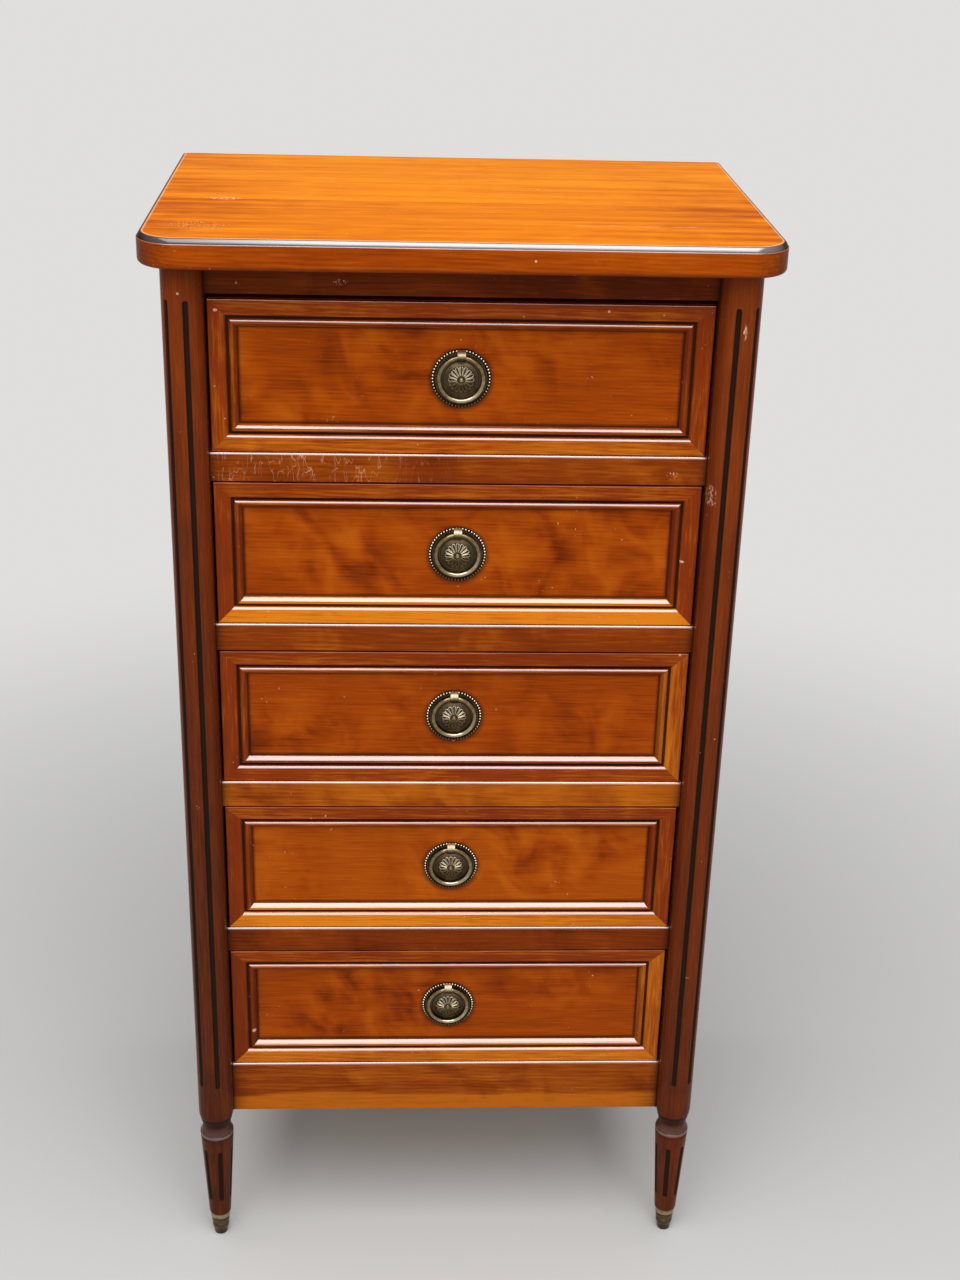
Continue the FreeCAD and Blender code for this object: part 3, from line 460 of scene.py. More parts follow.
top_wood = lacquered_wood(
    "cherry_top", "x", CHERRY_TOP, streaks=1.0, clouds=0.4, gloss=0.24, sheen=0.0015,
    board=two_boards, edge=top_joint, paler=top_ends,
    patches=[dict(place=(-211, -27, 1069), reach=(18, 7, 9), pull=(0.6, 1, 1), bare=0.05),
             dict(place=(150, -120, 1069), reach=(80, 5, 9), pull=(0.06, 1, 1), strength=0.6),
             dict(place=(-225, -140, 1069), reach=(30, 18, 9), bare=-0.03)])
fascia_wood = lacquered_wood(
    "cherry_fascia", "x", CHERRY_FASCIA, clouds=0.5, rings=0.06, ring_pitch=4.0,
    patches=[dict(place=(57.4, -195, 1055.3), reach=(1.2, 5, 1.2), bare=0.5)])
panel_wood = lacquered_wood(
    "cherry_panel", "x", CHERRY_PANEL, fibres=0.6, streaks=0.4, clouds=1.5, rings=0.03, ring_pitch=3.4,
    gloss=0.3, edge=painted_panel_shade, paler=paler_panel)
level_frame_wood = lacquered_wood(
    "cherry_frame_level", "x", CHERRY_FRAME, fibres=0.5, streaks=0.45, clouds=0.35, rings=0.03,
    ring_pitch=4.0,
    patches=[dict(place=(125.7, -148, 1002), reach=(1.3, 5, 1.3), bare=0.5),
             dict(place=(173.4, -148, 999.3), reach=(0.9, 5, 0.9), bare=0.5, strength=0.6)])
upright_frame_wood = lacquered_wood(
    "cherry_frame_upright", "z", CHERRY_FRAME, fibres=0.5, streaks=0.45, clouds=0.35,
    patches=[dict(place=(-211, -148, 998.7), reach=(2.2, 8, 1.6), bare=0.5),
             dict(place=(204.7, -148, 770.5), reach=(2.6, 6, 1.4), bare=0.5),
             dict(place=(-197, -145, 251), reach=(2.4, 12, 2.4), bare=0.3)])
rail_wood = lacquered_wood(
    "cherry_rail", "x", CHERRY_RAIL, fibres=0.5, streaks=0.4, clouds=0.9, rings=0.03, ring_pitch=5.0,
    polish_ior=3.0, paler=apron_sapwood, scratches=rail_scratches,
    patches=[dict(place=(190, -149, 854), reach=(7, 9, 5), bare=-0.02),
             dict(place=(-105, -149, 1024.6), reach=(8, 9, 3), bare=0.02, strength=0.7),
             dict(place=(-192.3, -149, 1022.6), reach=(1.2, 5, 1.2), bare=0.5, strength=0.5)])
post_wood = lacquered_wood(
    "cherry_post", "z", CHERRY_POST, clouds=0.35,
    patches=[dict(place=(-239, -174, 1019), reach=(1.3, 9, 1.3), bare=0.4, strength=0.8),
             dict(place=(239.6, -176, 992), reach=(2.2, 8, 8), pull=(1, 1, 0.3), bare=0.12),
             dict(place=(224, -163, 841), reach=(6, 14, 14), pull=(1, 1, 0.5), bare=0.03, strength=0.7)])
side_wood = lacquered_wood(
    "cherry_side", "z", CHERRY_RAIL, clouds=0.5, gloss=0.3, rings=0.05, ring_pitch=9.0)


def dark_edge(name):
    """Black-stained ovolo, worn a little brown, under a bright lacquer that has dulled towards the left."""
    material, shader, at = new_material(name)
    wear = at.stretch(0.2, 0.2, 1.0).noise(60.0, detail=3.0, rough=0.6)
    colour = (0.5 + wear).ramp((0.35, (0.010, 0.007, 0.007)), (0.8, (0.05, 0.022, 0.014)))
    kept = 0.4 + at.axis(0).step(-0.26, -0.1) * 0.6
    connect(shader, Base_Color=colour, Roughness=0.3 + wear * 0.2, Coat_Weight=at.field("polish") * kept)
    shader.inputs["Coat IOR"].default_value = 2.8
    shader.inputs["Coat Roughness"].default_value = 0.2
    shader.inputs["Specular IOR Level"].default_value = 0.01
    return material


ovolo_black = dark_edge("black_ovolo")


# Plain wood and metal

def plain_wood(name, along, pale, dark, gloss):
    """Unfinished wood: a pale colour with darker streaks and fine fibres along an axis."""
    material, shader, at = new_material(name)
    lengthwise = at.stretch(*GRAIN_AXES[along])
    fibre = lengthwise.noise(700.0, rough=0.6)
    streak = lengthwise.noise(90.0, detail=3.0, rough=0.55)
    level = 0.5 + fibre * 0.8 + streak * 1.2
    colour = level.ramp((0.15, dark), (0.75, pale))
    connect(shader, Base_Color=colour, Roughness=gloss + fibre * 0.2, Normal=bump(fibre, 0.12, 0.0005))
    return material


PALE_PINE = (0.62, 0.44, 0.25)
BROWN_PINE = (0.42, 0.26, 0.13)
drawer_side_wood = plain_wood("pine_lengthwise", "y", PALE_PINE, BROWN_PINE, 0.6)
drawer_back_wood = plain_wood("pine_crosswise", "x", PALE_PINE, BROWN_PINE, 0.6)
plywood = plain_wood("plywood", "x", (0.55, 0.38, 0.21), (0.40, 0.25, 0.12), 0.55)
back_plywood = plain_wood("back_plywood", "z", (0.50, 0.33, 0.17), (0.34, 0.20, 0.09), 0.6)

# Brass from its hollows to its rubbed places
HOLLOW_BRASS = (0.018, 0.013, 0.009)
BROWN_BRASS = (0.085, 0.058, 0.036)
OLIVE_BRASS = (0.175, 0.122, 0.040)
PALE_BRASS = (0.78, 0.71, 0.54)


def aged_brass(name):
    """Brass gone brown: nearly black in the hollows, olive where handled, rubbed pale where it is high.

    The piece's relief value is how high it lies and how rubbed, with painted highlight and shade added on the
    lug, ring, sabots and plate, and its dull value takes the gloss away.
    """
    material, shader, at = new_material(name)
    blotch = at.noise(260.0, detail=3.0, rough=0.6)
    rubbed = at.field("relief") + blotch * 0.3
    colour = rubbed.ramp((0.05, HOLLOW_BRASS), (0.25, BROWN_BRASS), (0.5, OLIVE_BRASS), (0.95, PALE_BRASS))
    connect(shader, Base_Color=colour, Roughness=0.36 - rubbed * 0.2 + at.field("dull") * 0.25,
            Normal=bump(blotch, 0.06, 0.0003))
    shader.inputs["Metallic"].default_value = 1.0
    return material


brass = aged_brass("antique_brass")


def plain_steel(name):
    """Dull zinc-plated steel with faint blotches."""
    material, shader, at = new_material(name)
    blotch = at.noise(900.0)
    colour = (0.5 + blotch).ramp((0.2, (0.36, 0.36, 0.37)), (0.8, (0.55, 0.55, 0.56)))
    connect(shader, Base_Color=colour, Roughness=0.4 + blotch * 0.2)
    shader.inputs["Metallic"].default_value = 1.0
    return material


steel = plain_steel("steel")


# Front and rear posts

FLUTE_RADIUS = 2.9
FLUTE_DEPTH = 1.8
FLUTE_STEP = 60.0
FLUTE_TURN = 15.0
COLUMN_FLUTE_ENDS = (198.0, 1013.0)
LEG_FLUTE_ENDS = (48.5, 116.5)
STILE_FOOT = 153.0
STILE_WIDTH = 15.0
STILE_SETBACK = 8.0
STILE_ARRIS = 0.6
REAR_ARRIS = 1.5
LEG_TENON = 4.0
# Radius and height of the places where the turning changes
SPIGOT_FOOT = (5.1, 4.1)
SPIGOT_TOP = (7.5, 29.0)
LEG_FOOT = (11.2, 29.0)
LEG_TOP = (16.8, 129.5)
COLLAR_FOOT = (16.2, 131.0)
COLLAR_SWELL = 0.9
COVE_FOOT = (16.9, 136.0)
COVE_TOP = (16.0, 152.0)
COVE_RADIUS = 17.0
SHOULDER_FOOT = (16.5, 156.0)
SHOULDER_TOP = 163.0
# Painted shade in the leg's turnings and polish on them, as pairs of height and strength
TURNING_SHADE = ((128.8, 0.0), (130.2, 0.8), (131.2, 0.0), (134.8, 0.0), (136.0, 0.9), (137.5, 0.2),
                 (144.0, 0.45), (151.0, 0.9), (153.0, 0.4), (156.0, 0.95), (157.5, 0.0))
TURNING_POLISH = ((132.5, 0.0), (133.4, 0.7), (135.6, 0.7), (136.0, 0.2), (136.1, 0.25), (142.0, 0.2),
                  (147.0, 0.0))
# Tone up a post by its height, from dark -1 to pale 1
POST_TONE = ((0.0, -1.0), (140.0, -0.9), (600.0, -0.45), (1040.0, 0.2))


def flute_heights(low, high, count):
    """Heights that follow a flute: close together at its round ends, and a count of them between."""
    end = FLUTE_RADIUS * (1 - np.cos(np.linspace(0, np.pi / 2, 10)))
    middle = np.linspace(low + FLUTE_RADIUS, high - FLUTE_RADIUS, count)[1:-1]
    return np.concatenate([[low - 0.3], low + end, middle, (high - end)[::-1], [high + 0.3]])


def swelled(foot, top, swell, count):
    """Radius and height along an arc between two heights that bulges out, or in if negative, by a swell.

    With half the height h, the arc's radius is (swell squared plus h squared) over twice the swell.
    """
    height = np.linspace(foot[1], top[1], count)
    half = (top[1] - foot[1]) / 2
    bend = (swell ** 2 + half ** 2) / (2 * abs(swell))
    bulge = np.sqrt(bend ** 2 - (height - foot[1] - half) ** 2) - (bend - abs(swell))
    straight = np.interp(height, [foot[1], top[1]], [foot[0], top[0]])
    return np.stack([straight + np.sign(swell) * bulge, height], -1)


def leg_profile():
    """Radius and height up a turned leg: spigot, straight taper, collar and cove."""
    along_flutes = flute_heights(*LEG_FLUTE_ENDS, 14)
    taper_height = np.concatenate([[LEG_FOOT[1] + 0.7], along_flutes, [LEG_TOP[1] - 0.6]])
    taper = np.interp(taper_height, [LEG_FOOT[1], LEG_TOP[1]], [LEG_FOOT[0], LEG_TOP[0]])
    collar_top = (COLLAR_FOOT[0], COVE_FOOT[1])
    hollow = COVE_RADIUS - math.sqrt(COVE_RADIUS ** 2 - (COVE_TOP[1] - COVE_FOOT[1]) ** 2 / 4)
    return np.concatenate([
        [SPIGOT_FOOT, SPIGOT_TOP, (LEG_FOOT[0] - 0.5, LEG_FOOT[1])],
        np.stack([taper, taper_height], -1), [LEG_TOP],
        swelled(COLLAR_FOOT, collar_top, COLLAR_SWELL, 11), swelled(COVE_FOOT, COVE_TOP, -hollow, 18)])


def flute_angles(places):
    """Angles round a post, close together across each flute."""
    even = np.linspace(0, 2 * np.pi, 90, endpoint=False)
    across = np.add.outer(np.radians(places), np.linspace(-0.27, 0.27, 25)).ravel()
    return np.unique(np.round(np.concatenate([even, across % (2 * np.pi)]), 3))


def fluted(radius, height, angle, places, ends):
    """Radius of a turned post with round-ended flutes at some angles.

    A flute is cut by a rod whose axis stands the rod's radius less the flute's depth outside the post's face.
    From the post's axis, at an angle a from the flute's middle, the near side of a rod of radius r whose axis
    is s away is at s cos a less the root of r squared minus (s sin a) squared, and the post keeps the smaller
    of that and its own radius. Past the flute's straight part the rod's radius shrinks as a half sphere's.
    """
    past_end = np.maximum(ends[0] + FLUTE_RADIUS - height, height - ends[1] + FLUTE_RADIUS)
    past = np.maximum(0, past_end)[:, None]
    rod = np.sqrt(np.maximum(FLUTE_RADIUS ** 2 - past ** 2, 0))
    stand = radius + FLUTE_RADIUS - FLUTE_DEPTH
    kept = radius
    for place in np.radians(places):
        off = (angle - place + np.pi) % (2 * np.pi) - np.pi
        room = rod ** 2 - (stand * np.sin(off)) ** 2
        near = stand * np.cos(off) - np.sqrt(np.maximum(room, 0))
        kept = np.where((room > 0) & (np.abs(off) < np.pi / 2), np.minimum(kept, near), kept)
    return kept


def fluted_turning(side, centre, column_radius, top):
    """Leg, shoulder and column of a front post on one profile, fluted, darker in the flutes and with painted
    shade in the turnings.

    The shoulder is a quarter of an ellipse from the leg's radius out to the column's.
    """
    first = FLUTE_TURN if side > 0 else 180.0 - FLUTE_TURN
    leg_places = first + FLUTE_STEP * np.arange(6)
    column_places = first - side * FLUTE_STEP * np.arange(3)
    angle = flute_angles(leg_places)
    sweep = np.radians(np.linspace(-90, 0, 10))
    shoulder_height = SHOULDER_TOP + (SHOULDER_TOP - SHOULDER_FOOT[1]) * np.sin(sweep)
    shoulder_radius = column_radius - (column_radius - SHOULDER_FOOT[0]) * (1 - np.cos(sweep))
    column_height = np.concatenate([[SHOULDER_TOP + 0.6], flute_heights(*COLUMN_FLUTE_ENDS, 30), [top]])
    column = np.stack([np.full(len(column_height), column_radius), column_height], -1)
    profile = np.concatenate([leg_profile(), [(COVE_TOP[0], SHOULDER_FOOT[1])],
                              np.stack([shoulder_radius, shoulder_height], -1), column])
    height = profile[:, 1]
    plain = np.broadcast_to(profile[:, :1], (len(height), len(angle)))
    cut = fluted(plain, height, angle, leg_places, LEG_FLUTE_ENDS)
    cut = fluted(cut, height, angle, column_places, COLUMN_FLUTE_ENDS)
    in_flute = np.clip((plain - cut) / FLUTE_DEPTH * 2.2, 0, 1)
    stain = np.maximum(in_flute, between(height, TURNING_SHADE)[:, None])
    polish = between(height, TURNING_POLISH)[:, None]
    # The right post is painted paler and the left darker, as light falling more from the right
    tone = between(height, POST_TONE)[:, None] + (0.25 if side > 0 else -0.05)
    return turned(centre, cut, height, angle, stain=stain, polish=polish, tone=tone)


def front_post(hand):
    """Column and leg turned in one, with the square stile behind it in painted shade, darkest at its arris
    beside the drawers.
    """
    node = f"front_post_{hand}"
    low, high = node_box(node)
    side = 1 if hand == "right" else -1
    column_radius = (high[0] - low[0]) / 2
    centre = ((low[0] + high[0]) / 2, low[1] + column_radius)
    left, right = (low[0], low[0] + STILE_WIDTH) if side > 0 else (high[0] - STILE_WIDTH, high[0])
    outline = soft_rectangle((left, centre[1] + STILE_SETBACK), (right, high[1]), (STILE_ARRIS,) * 4)
    # Painted shade on the stile, darkest at the arris beside the drawers
    inner_arris = (1.0, 0.0, 0.0, 0.0) if side > 0 else (0.0, 1.0, 0.0, 0.0)
    arris_shade = corner_values(ROUND_STEPS, [0.9 * share for share in inner_arris], flat=0.3)
    stile = bar(2, outline, (STILE_FOOT, high[2]), stain=arris_shade, tone=np.array([[-0.9], [0.15]]))
    turning = fluted_turning(side, centre, column_radius, high[2])
    make_piece(node, [turning, stile], "carcase", [post_wood], [node])


def rear_post(hand):
    """Square stile with a plain turned leg below it."""
    node = f"rear_post_{hand}"
    low, high = node_box(node)
    stile = bar(2, soft_rectangle(low[:2], high[:2], (REAR_ARRIS,) * 4), (STILE_FOOT, high[2]))
    profile = np.concatenate([leg_profile(), [(COVE_TOP[0], STILE_FOOT + LEG_TENON)]])
    angle = np.linspace(0, 2 * np.pi, 96, endpoint=False)
    leg = turned((low[:2] + high[:2]) / 2, profile[:, 0], profile[:, 1], angle)
    make_piece(node, [stile, leg], "carcase", [post_wood], [node])


# Radius and height up the outside of a brass cup, and down its inside
SABOT_PROFILE = np.array([
    (6.2, 0.0), (6.8, 0.5), (7.9, 8.0), (8.2, 8.8), (8.6, 9.4), (8.75, 10.3), (8.75, 13.2), (8.5, 14.2),
    (8.1, 14.6), (8.1, 15.2), (8.9, 15.8), (9.2, 16.7), (9.2, 19.3), (8.9, 20.2), (8.3, 20.6),
    (8.3, 21.3), (9.4, 21.9), (10.0, 22.6), (10.2, 23.7), (10.2, 27.3), (10.0, 28.4), (9.5, 29.0),
    (7.6, 29.0), (5.2, 4.0)])
# The wider a part of the cup, the brighter it is painted: a painted highlight on the collar and painted shade
# towards the foot, as pairs of radius and brightness
SABOT_HIGHLIGHT_AND_SHADE = ((6.8, 0.2), (8.3, 0.25), (9.2, 0.35), (9.9, 0.45), (10.2, 0.62))


def sabots():
    """Four turned brass cups: a collar with rounded lips, two rings and a tapered foot."""
    radius, height = SABOT_PROFILE[:, 0], SABOT_PROFILE[:, 1]
    relief = between(radius, SABOT_HIGHLIGHT_AND_SHADE)[:, None]
    angle = np.linspace(0, 2 * np.pi, 64, endpoint=False)
    shells = []
    for mount in frame["record"]["mounts"]:
        if "foot" in mount["name"]:
            x, y = np.array(mount["pos_m"][:2]) / MM
            shells.append(turned((x, y), radius, height, angle, relief=relief))
    make_piece("sabots", shells, "carcase", [brass], ["sabots"])


# Rails and top

# Tone along each rail from its left end to its right end, from dark -1 to pale 1
RAIL_TONES = {
    # The frieze rail is painted darker as shade under the top's overhang
    "frieze_rail": (-0.8, -0.8, -1.0),
    "divider_rail_1": (0.2, 0.0, 0.15),
    "divider_rail_2": (0.0, -0.1, 0.0),
    "divider_rail_3": (0.6, 0.8, 0.9),
    "divider_rail_4": (-0.5, -0.4, -0.5),
    "apron_rail": (0.25, 0.25, 0.2),
}
RAIL_PAST_DRAWER = 2.0
RAIL_ROUND_STEPS = 8
RAIL_END_DIRT_AND_SHADE = 0.7
RAIL_END_SHADE_FADE = 4.0
SHARP_ARRIS = 0.5
POLISHED_ARRIS = 2.0


def front_rails():
    """Front rails: each a plain section carried across; the dividers and apron have a polished upper arris.

    Dirt and painted shade darken their ends beside the posts: it falls as e to the power of minus the
    distance over a fading length.
    Stations stand close together there.
    """
    reach = node_box("drawer_1_moulding")[1][0] + RAIL_PAST_DRAWER
    ends = reach - np.array([0.0, 3.0, 8.0])
    stations = np.concatenate([-ends, np.linspace(-reach + 25, reach - 25, 11), ends[::-1]])
    dirt_and_shade = np.exp(-(reach - np.abs(stations)) / RAIL_END_SHADE_FADE)[:, None] * RAIL_END_DIRT_AND_SHADE
    for node, tones in RAIL_TONES.items():
        low, high = node_box(node)
        polished = node != "frieze_rail"
        rounds = (1.0, 0.4, 0.4, POLISHED_ARRIS if polished else SHARP_ARRIS)
        section = soft_rectangle(low[1:], high[1:], rounds, RAIL_ROUND_STEPS)
        polish = corner_values(RAIL_ROUND_STEPS, (0.0, 0.0, 0.0, 1.0 if polished else 0.0))
        tone = np.interp(stations, [-reach, 0, reach], tones)[:, None]
        shell = bar(0, section, stations, polish=polish, tone=tone, stain=dirt_and_shade)
        make_piece(node, [shell], "carcase", [rail_wood], [node])


TOP_CORNER = 35.15
TOP_CORNER_POINTS = 20
TOP_FASCIA = 21.6
TOP_STEP = 1.2
TOP_FLAT = 30.0
UNDER_ROUND = 4.0
LIP_ROUND = 0.5
OVOLO = 4.0


def top_plan(low, high):
    """Centre, reach and direction of each point round the top's plan.

    A point is its centre plus (reach less inset) times its direction. At the front corners the centre is the
    corner's own, so the insets are concentric rounds, and the back corners stay square.
    """
    bend = np.radians(np.linspace(0, 90, TOP_CORNER_POINTS))
    left_bend = np.stack([-np.cos(bend), -np.sin(bend)], -1)
    right_bend = np.stack([np.sin(bend), -np.cos(bend)], -1)
    direction = np.concatenate([[(-1.0, 0.0)], left_bend, right_bend, [(1.0, 0.0)]])
    left_centre = (low[0] + TOP_CORNER, low[1] + TOP_CORNER)
    right_centre = (high[0] - TOP_CORNER, low[1] + TOP_CORNER)
    centre = np.array([(low[0], high[1])] + [left_centre] * TOP_CORNER_POINTS
                      + [right_centre] * TOP_CORNER_POINTS + [(high[0], high[1])])
    reach = np.array([0.0] + [TOP_CORNER] * (2 * TOP_CORNER_POINTS) + [0.0])
    return centre, reach, direction


def top_board():
    """Top: each point of its plan moves in from the edge by the inset of the edge's section.

    The section goes from the underside round a quarter round, up the fascia to its lip, and over the ovolo.
    A point stands a little before and after each round, so that the flats stay flat when shaded.
    """
    low, high = node_box("top_board")
    centre, reach, direction = top_plan(low, high)
    thick = high[2] - low[2]
    rim = TOP_STEP + OVOLO
    under = np.concatenate([[(TOP_FLAT, 0.0), (UNDER_ROUND + 0.6, 0.0)],
                            arc((UNDER_ROUND, UNDER_ROUND), UNDER_ROUND, 270, 180, 8)])
    face = [(0.0, UNDER_ROUND + 0.6), (0.0, TOP_FASCIA - 0.9)]
    lip = arc((LIP_ROUND, TOP_FASCIA - LIP_ROUND), LIP_ROUND, 180, 90, 4)
    ovolo = arc((rim, thick - OVOLO), OVOLO, 180, 90, 14)
    section = np.concatenate([under, face, lip, [(TOP_STEP, TOP_FASCIA)], ovolo,
                              [(rim + 0.3, thick), (rim + 1.2, thick), (TOP_FLAT, thick)]])
    plan = centre[None] + (reach[None, :, None] - section[:, 0][:, None, None]) * direction[None]
    z = np.broadcast_to((low[2] + section[:, 1])[:, None, None], plan.shape[:2] + (1,))
    first_lip = len(under) + len(face)
    first_step = first_lip + len(lip)
    last_ovolo = first_step + len(ovolo)
    upper, fascia, black = range(3)
    bands = np.full(len(section) - 1, fascia)
    bands[first_step - 1:last_ovolo - 2] = black
    bands[last_ovolo - 2:] = upper
    to_front = np.clip(-2.4 * direction[:, 1] - 1.2, 0.0, 1.0)
    polish = np.zeros((len(section), 1))
    polish[first_lip:last_ovolo + 1] = 1.0
    # Painted shade: the underside darkens further in under the top, and the underside and fascia darken round
    # the sides
    shade = np.zeros((len(section), 1))
    shade[:len(under), 0] = np.linspace(0.8, 0.1, len(under))
    side_shade = np.zeros((len(section), len(direction)))
    side_shade[:first_lip] = 0.7 * np.sqrt(1 + direction[:, 1])
    bare = np.zeros((len(section), 1))
    bare[last_ovolo - 1:last_ovolo + 2] = 0.5
    shell = tube(np.concatenate([plan, z], -1), np.append(bands, [fascia, upper]), polish=polish * to_front,
                 stain=np.maximum(shade, side_shade), bare=bare)
    finishes = [top_wood, fascia_wood, ovolo_black]
    make_piece("top_board", [shell], "carcase", finishes, ["top_board"])


# Drawers

MOULDING_DEPTH = 8.0
BORDER_ROUND = 0.9
BORDER_WIDTH = 15.0
BORDER_FALL = 1.2
BORDER_ARRIS = 2.4
QUIRK_WIDTH = 2.6
QUIRK_FLOOR = 2.5
BEAD_HEIGHT = 6.0
BEAD_NOSE = (2.2, 3.0)
BEAD_SLOPE = 3.3
BEAD_FOOT = 2.5
# Tone for each strip of each drawer's frame, from dark -1 to pale 1, at its two ends: each board's own tone,
# with the upward-facing bottom strips mostly paler as painted light
STRIP_TONES = {
    1: {"bottom": (0.35, 0.25), "top": (0.0, 0.0), "left": (0.1, 0.0), "right": (0.0, -0.1)},
    2: {"bottom": (1.3, 1.2), "top": (0.1, 0.0), "left": (-0.1, -0.1), "right": (-0.2, -0.2)},
    3: {"bottom": (0.0, 0.1), "top": (0.0, 0.0), "left": (0.0, 0.0), "right": (0.55, 0.45)},
    4: {"bottom": (1.2, 0.7), "top": (0.0, 0.0), "left": (-0.1, -0.1), "right": (-0.1, -0.1)},
    5: {"bottom": (0.65, 0.65), "top": (0.0, 0.1), "left": (-0.5, -0.4), "right": (0.45, 0.55)},
}


def moulding_section():
    """Section of the drawer moulding as depth forward and distance inward, and how far it faces inward.

    A border that falls to a softened arris, a quirk, and a bead with a long nose and a slightly full slope.
    The arris is a superellipse, its two runs being the power 1.4 of a cosine and of a sine, and the nose a
    quarter ellipse. Points just beside the rounds keep the flats flat when shaded.
    """
    crest = MOULDING_DEPTH - BORDER_FALL
    outer = arc((MOULDING_DEPTH - BORDER_ROUND, BORDER_ROUND), BORDER_ROUND, 270, 360, 7)
    turn = np.linspace(0, np.pi / 2, 13)
    arris_middle = np.array([crest - BORDER_ARRIS, BORDER_WIDTH - BORDER_ARRIS])
    arris = arris_middle + BORDER_ARRIS * np.stack([np.cos(turn), np.sin(turn)], -1) ** 1.4
    bead_start = BORDER_WIDTH + QUIRK_WIDTH
    nose_middle = np.array([BEAD_HEIGHT - BEAD_NOSE[0], bead_start + BEAD_NOSE[1]])
    nose = nose_middle + BEAD_NOSE * np.stack([np.sin(turn), -np.cos(turn)], -1)
    share = np.linspace(0, 1, 9)[:, None]
    slope = (1 - share) * (BEAD_HEIGHT, MOULDING_WIDTH - BEAD_SLOPE) + share * (BEAD_FOOT, MOULDING_WIDTH)
    slope = slope + 0.7 * share * (1 - share)
    points = np.concatenate([
        [(0.0, 0.0), (MOULDING_DEPTH - 1.4, 0.0)], outer,
        [(MOULDING_DEPTH - 0.1, 1.5), (crest + 0.04, 12.1)], arris,
        [(QUIRK_FLOOR, BORDER_WIDTH), (QUIRK_FLOOR, bead_start)], nose,
        [(BEAD_HEIGHT, bead_start + BEAD_NOSE[1] + 0.2)], slope, [(0.0, MOULDING_WIDTH)]])
    run = np.gradient(points, axis=0)
    return points, -run[:, 0] / np.linalg.norm(run, axis=1)


def moulding_finish(points, inward_facing, side, number):
    """Painted shade and polish round a strip: painted shade in the quirk, on the slope (more on upright
    strips) and where the bead meets the panel; polished where a rounded member faces up.
    """
    forward, inward = points[:, 0], points[:, 1]
    level = side in ("bottom", "top")
    # Painted shade on the quirk's floor, on the slope and where the bead meets the panel
    floor = (np.abs(forward - QUIRK_FLOOR) < 0.01) & (inward < MOULDING_WIDTH - 1)
    slope = np.clip((inward - (MOULDING_WIDTH - BEAD_SLOPE)) / 0.6, 0, 1)
    stain = np.where(floor, 0.95, slope * (0.15 if level else 0.4))
    stain = np.where(inward > MOULDING_WIDTH - 0.2, 0.75, stain)
    if not level:
        return stain, np.full(len(points), 0.02)
    upward = inward_facing if side == "bottom" else -inward_facing
    polish = np.clip((upward - 0.12) / 0.2, 0.02, 1)
    if side == "top" and number > 1:
        polish = np.where(inward < BORDER_WIDTH / 2, polish * 0.25, polish)
    return stain, np.where(floor | (forward < 0.1), 0.0, polish)


def drawer_moulding(number):
    """Four strips of the section, each carried along one side of the drawer.

    The ends of a strip step in by the distance inward, which makes the mitres.
    """
    node = f"drawer_{number}_moulding"
    low, high = node_box(node)
    points, inward_facing = moulding_section()
    forward, inward = points[:, 0], points[:, 1]
    finishes = [level_frame_wood, upright_frame_wood]
    shells = []
    for side, tones in STRIP_TONES[number].items():
        level = side in ("bottom", "top")
        run, lift = (0, 2) if level else (2, 0)
        grid = np.zeros((2, len(points), 3))
        grid[..., 1] = high[1] - forward
        grid[0, :, run], grid[1, :, run] = low[run] + inward, high[run] - inward
        grid[..., lift] = low[lift] + inward if side in ("bottom", "left") else high[lift] - inward
        stain, polish = moulding_finish(points, inward_facing, side, number)
        finish = 0 if level else 1
        shells.append(tube(grid, finish, stain=stain, polish=polish, tone=np.array(tones)[:, None]))
    make_piece(node, shells, f"drawer_{number}", finishes, [node])


# Ring pulls

RIM_BEADS = 54
RIM_MIDDLE = 25.0
RIM_BEAD = 1.25
RIM_BEAD_HEIGHT = 1.3
RIM_SCALLOP = 0.45
BOSS_RADIUS = 15.6
BOSS_EDGE = 1.8
BOSS_HEIGHT = 6.4
BOSS_SINK = 0.45
LIP_HEIGHT = 0.35
BUTTON_RADIUS = 2.6
BUTTON_HEIGHT = 1.5
PETALS = 16
# A petal's outline keeps to this share of its pitch, and bends round from this radius on
PETAL_SHARE = 0.72
PETAL_BEND = 10.0
PETAL_START = 3.6
PETAL_END = 12.4
PETAL_RIDGE = 0.36
PETAL_HEIGHT = 0.5
# Height of the plate's flat seat and rim over its back, as pairs of radius and height
PLATE_SEAT = ((BOSS_RADIUS, 1.2), (23.2, 1.2), (23.6, 0.9), (26.0, 0.9), (PLATE_RADIUS, 0.6))
RING_RADIUS = 19.5
RING_WIRE = 2.05
RING_GLINT_PLACE = -65.0
LUG_REACH = 3.6
LUG_THICK = 1.2
LUG_HALF_WIDTH = 3.9
LUG_SHADE_AND_HIGHLIGHT = ((-0.5, 0.14), (0.5, 0.45), (2.5, 0.66))
HOOD_RADIUS = 5.6
HOOD_FOOT = 1.4


def within_pitch(angle, count):
    """Angle from the nearest of a number of places round a circle, from -1 to 1 over each one's share."""
    pitch = 2 * np.pi / count
    return ((angle + pitch / 2) % pitch - pitch / 2) / (pitch / 2)


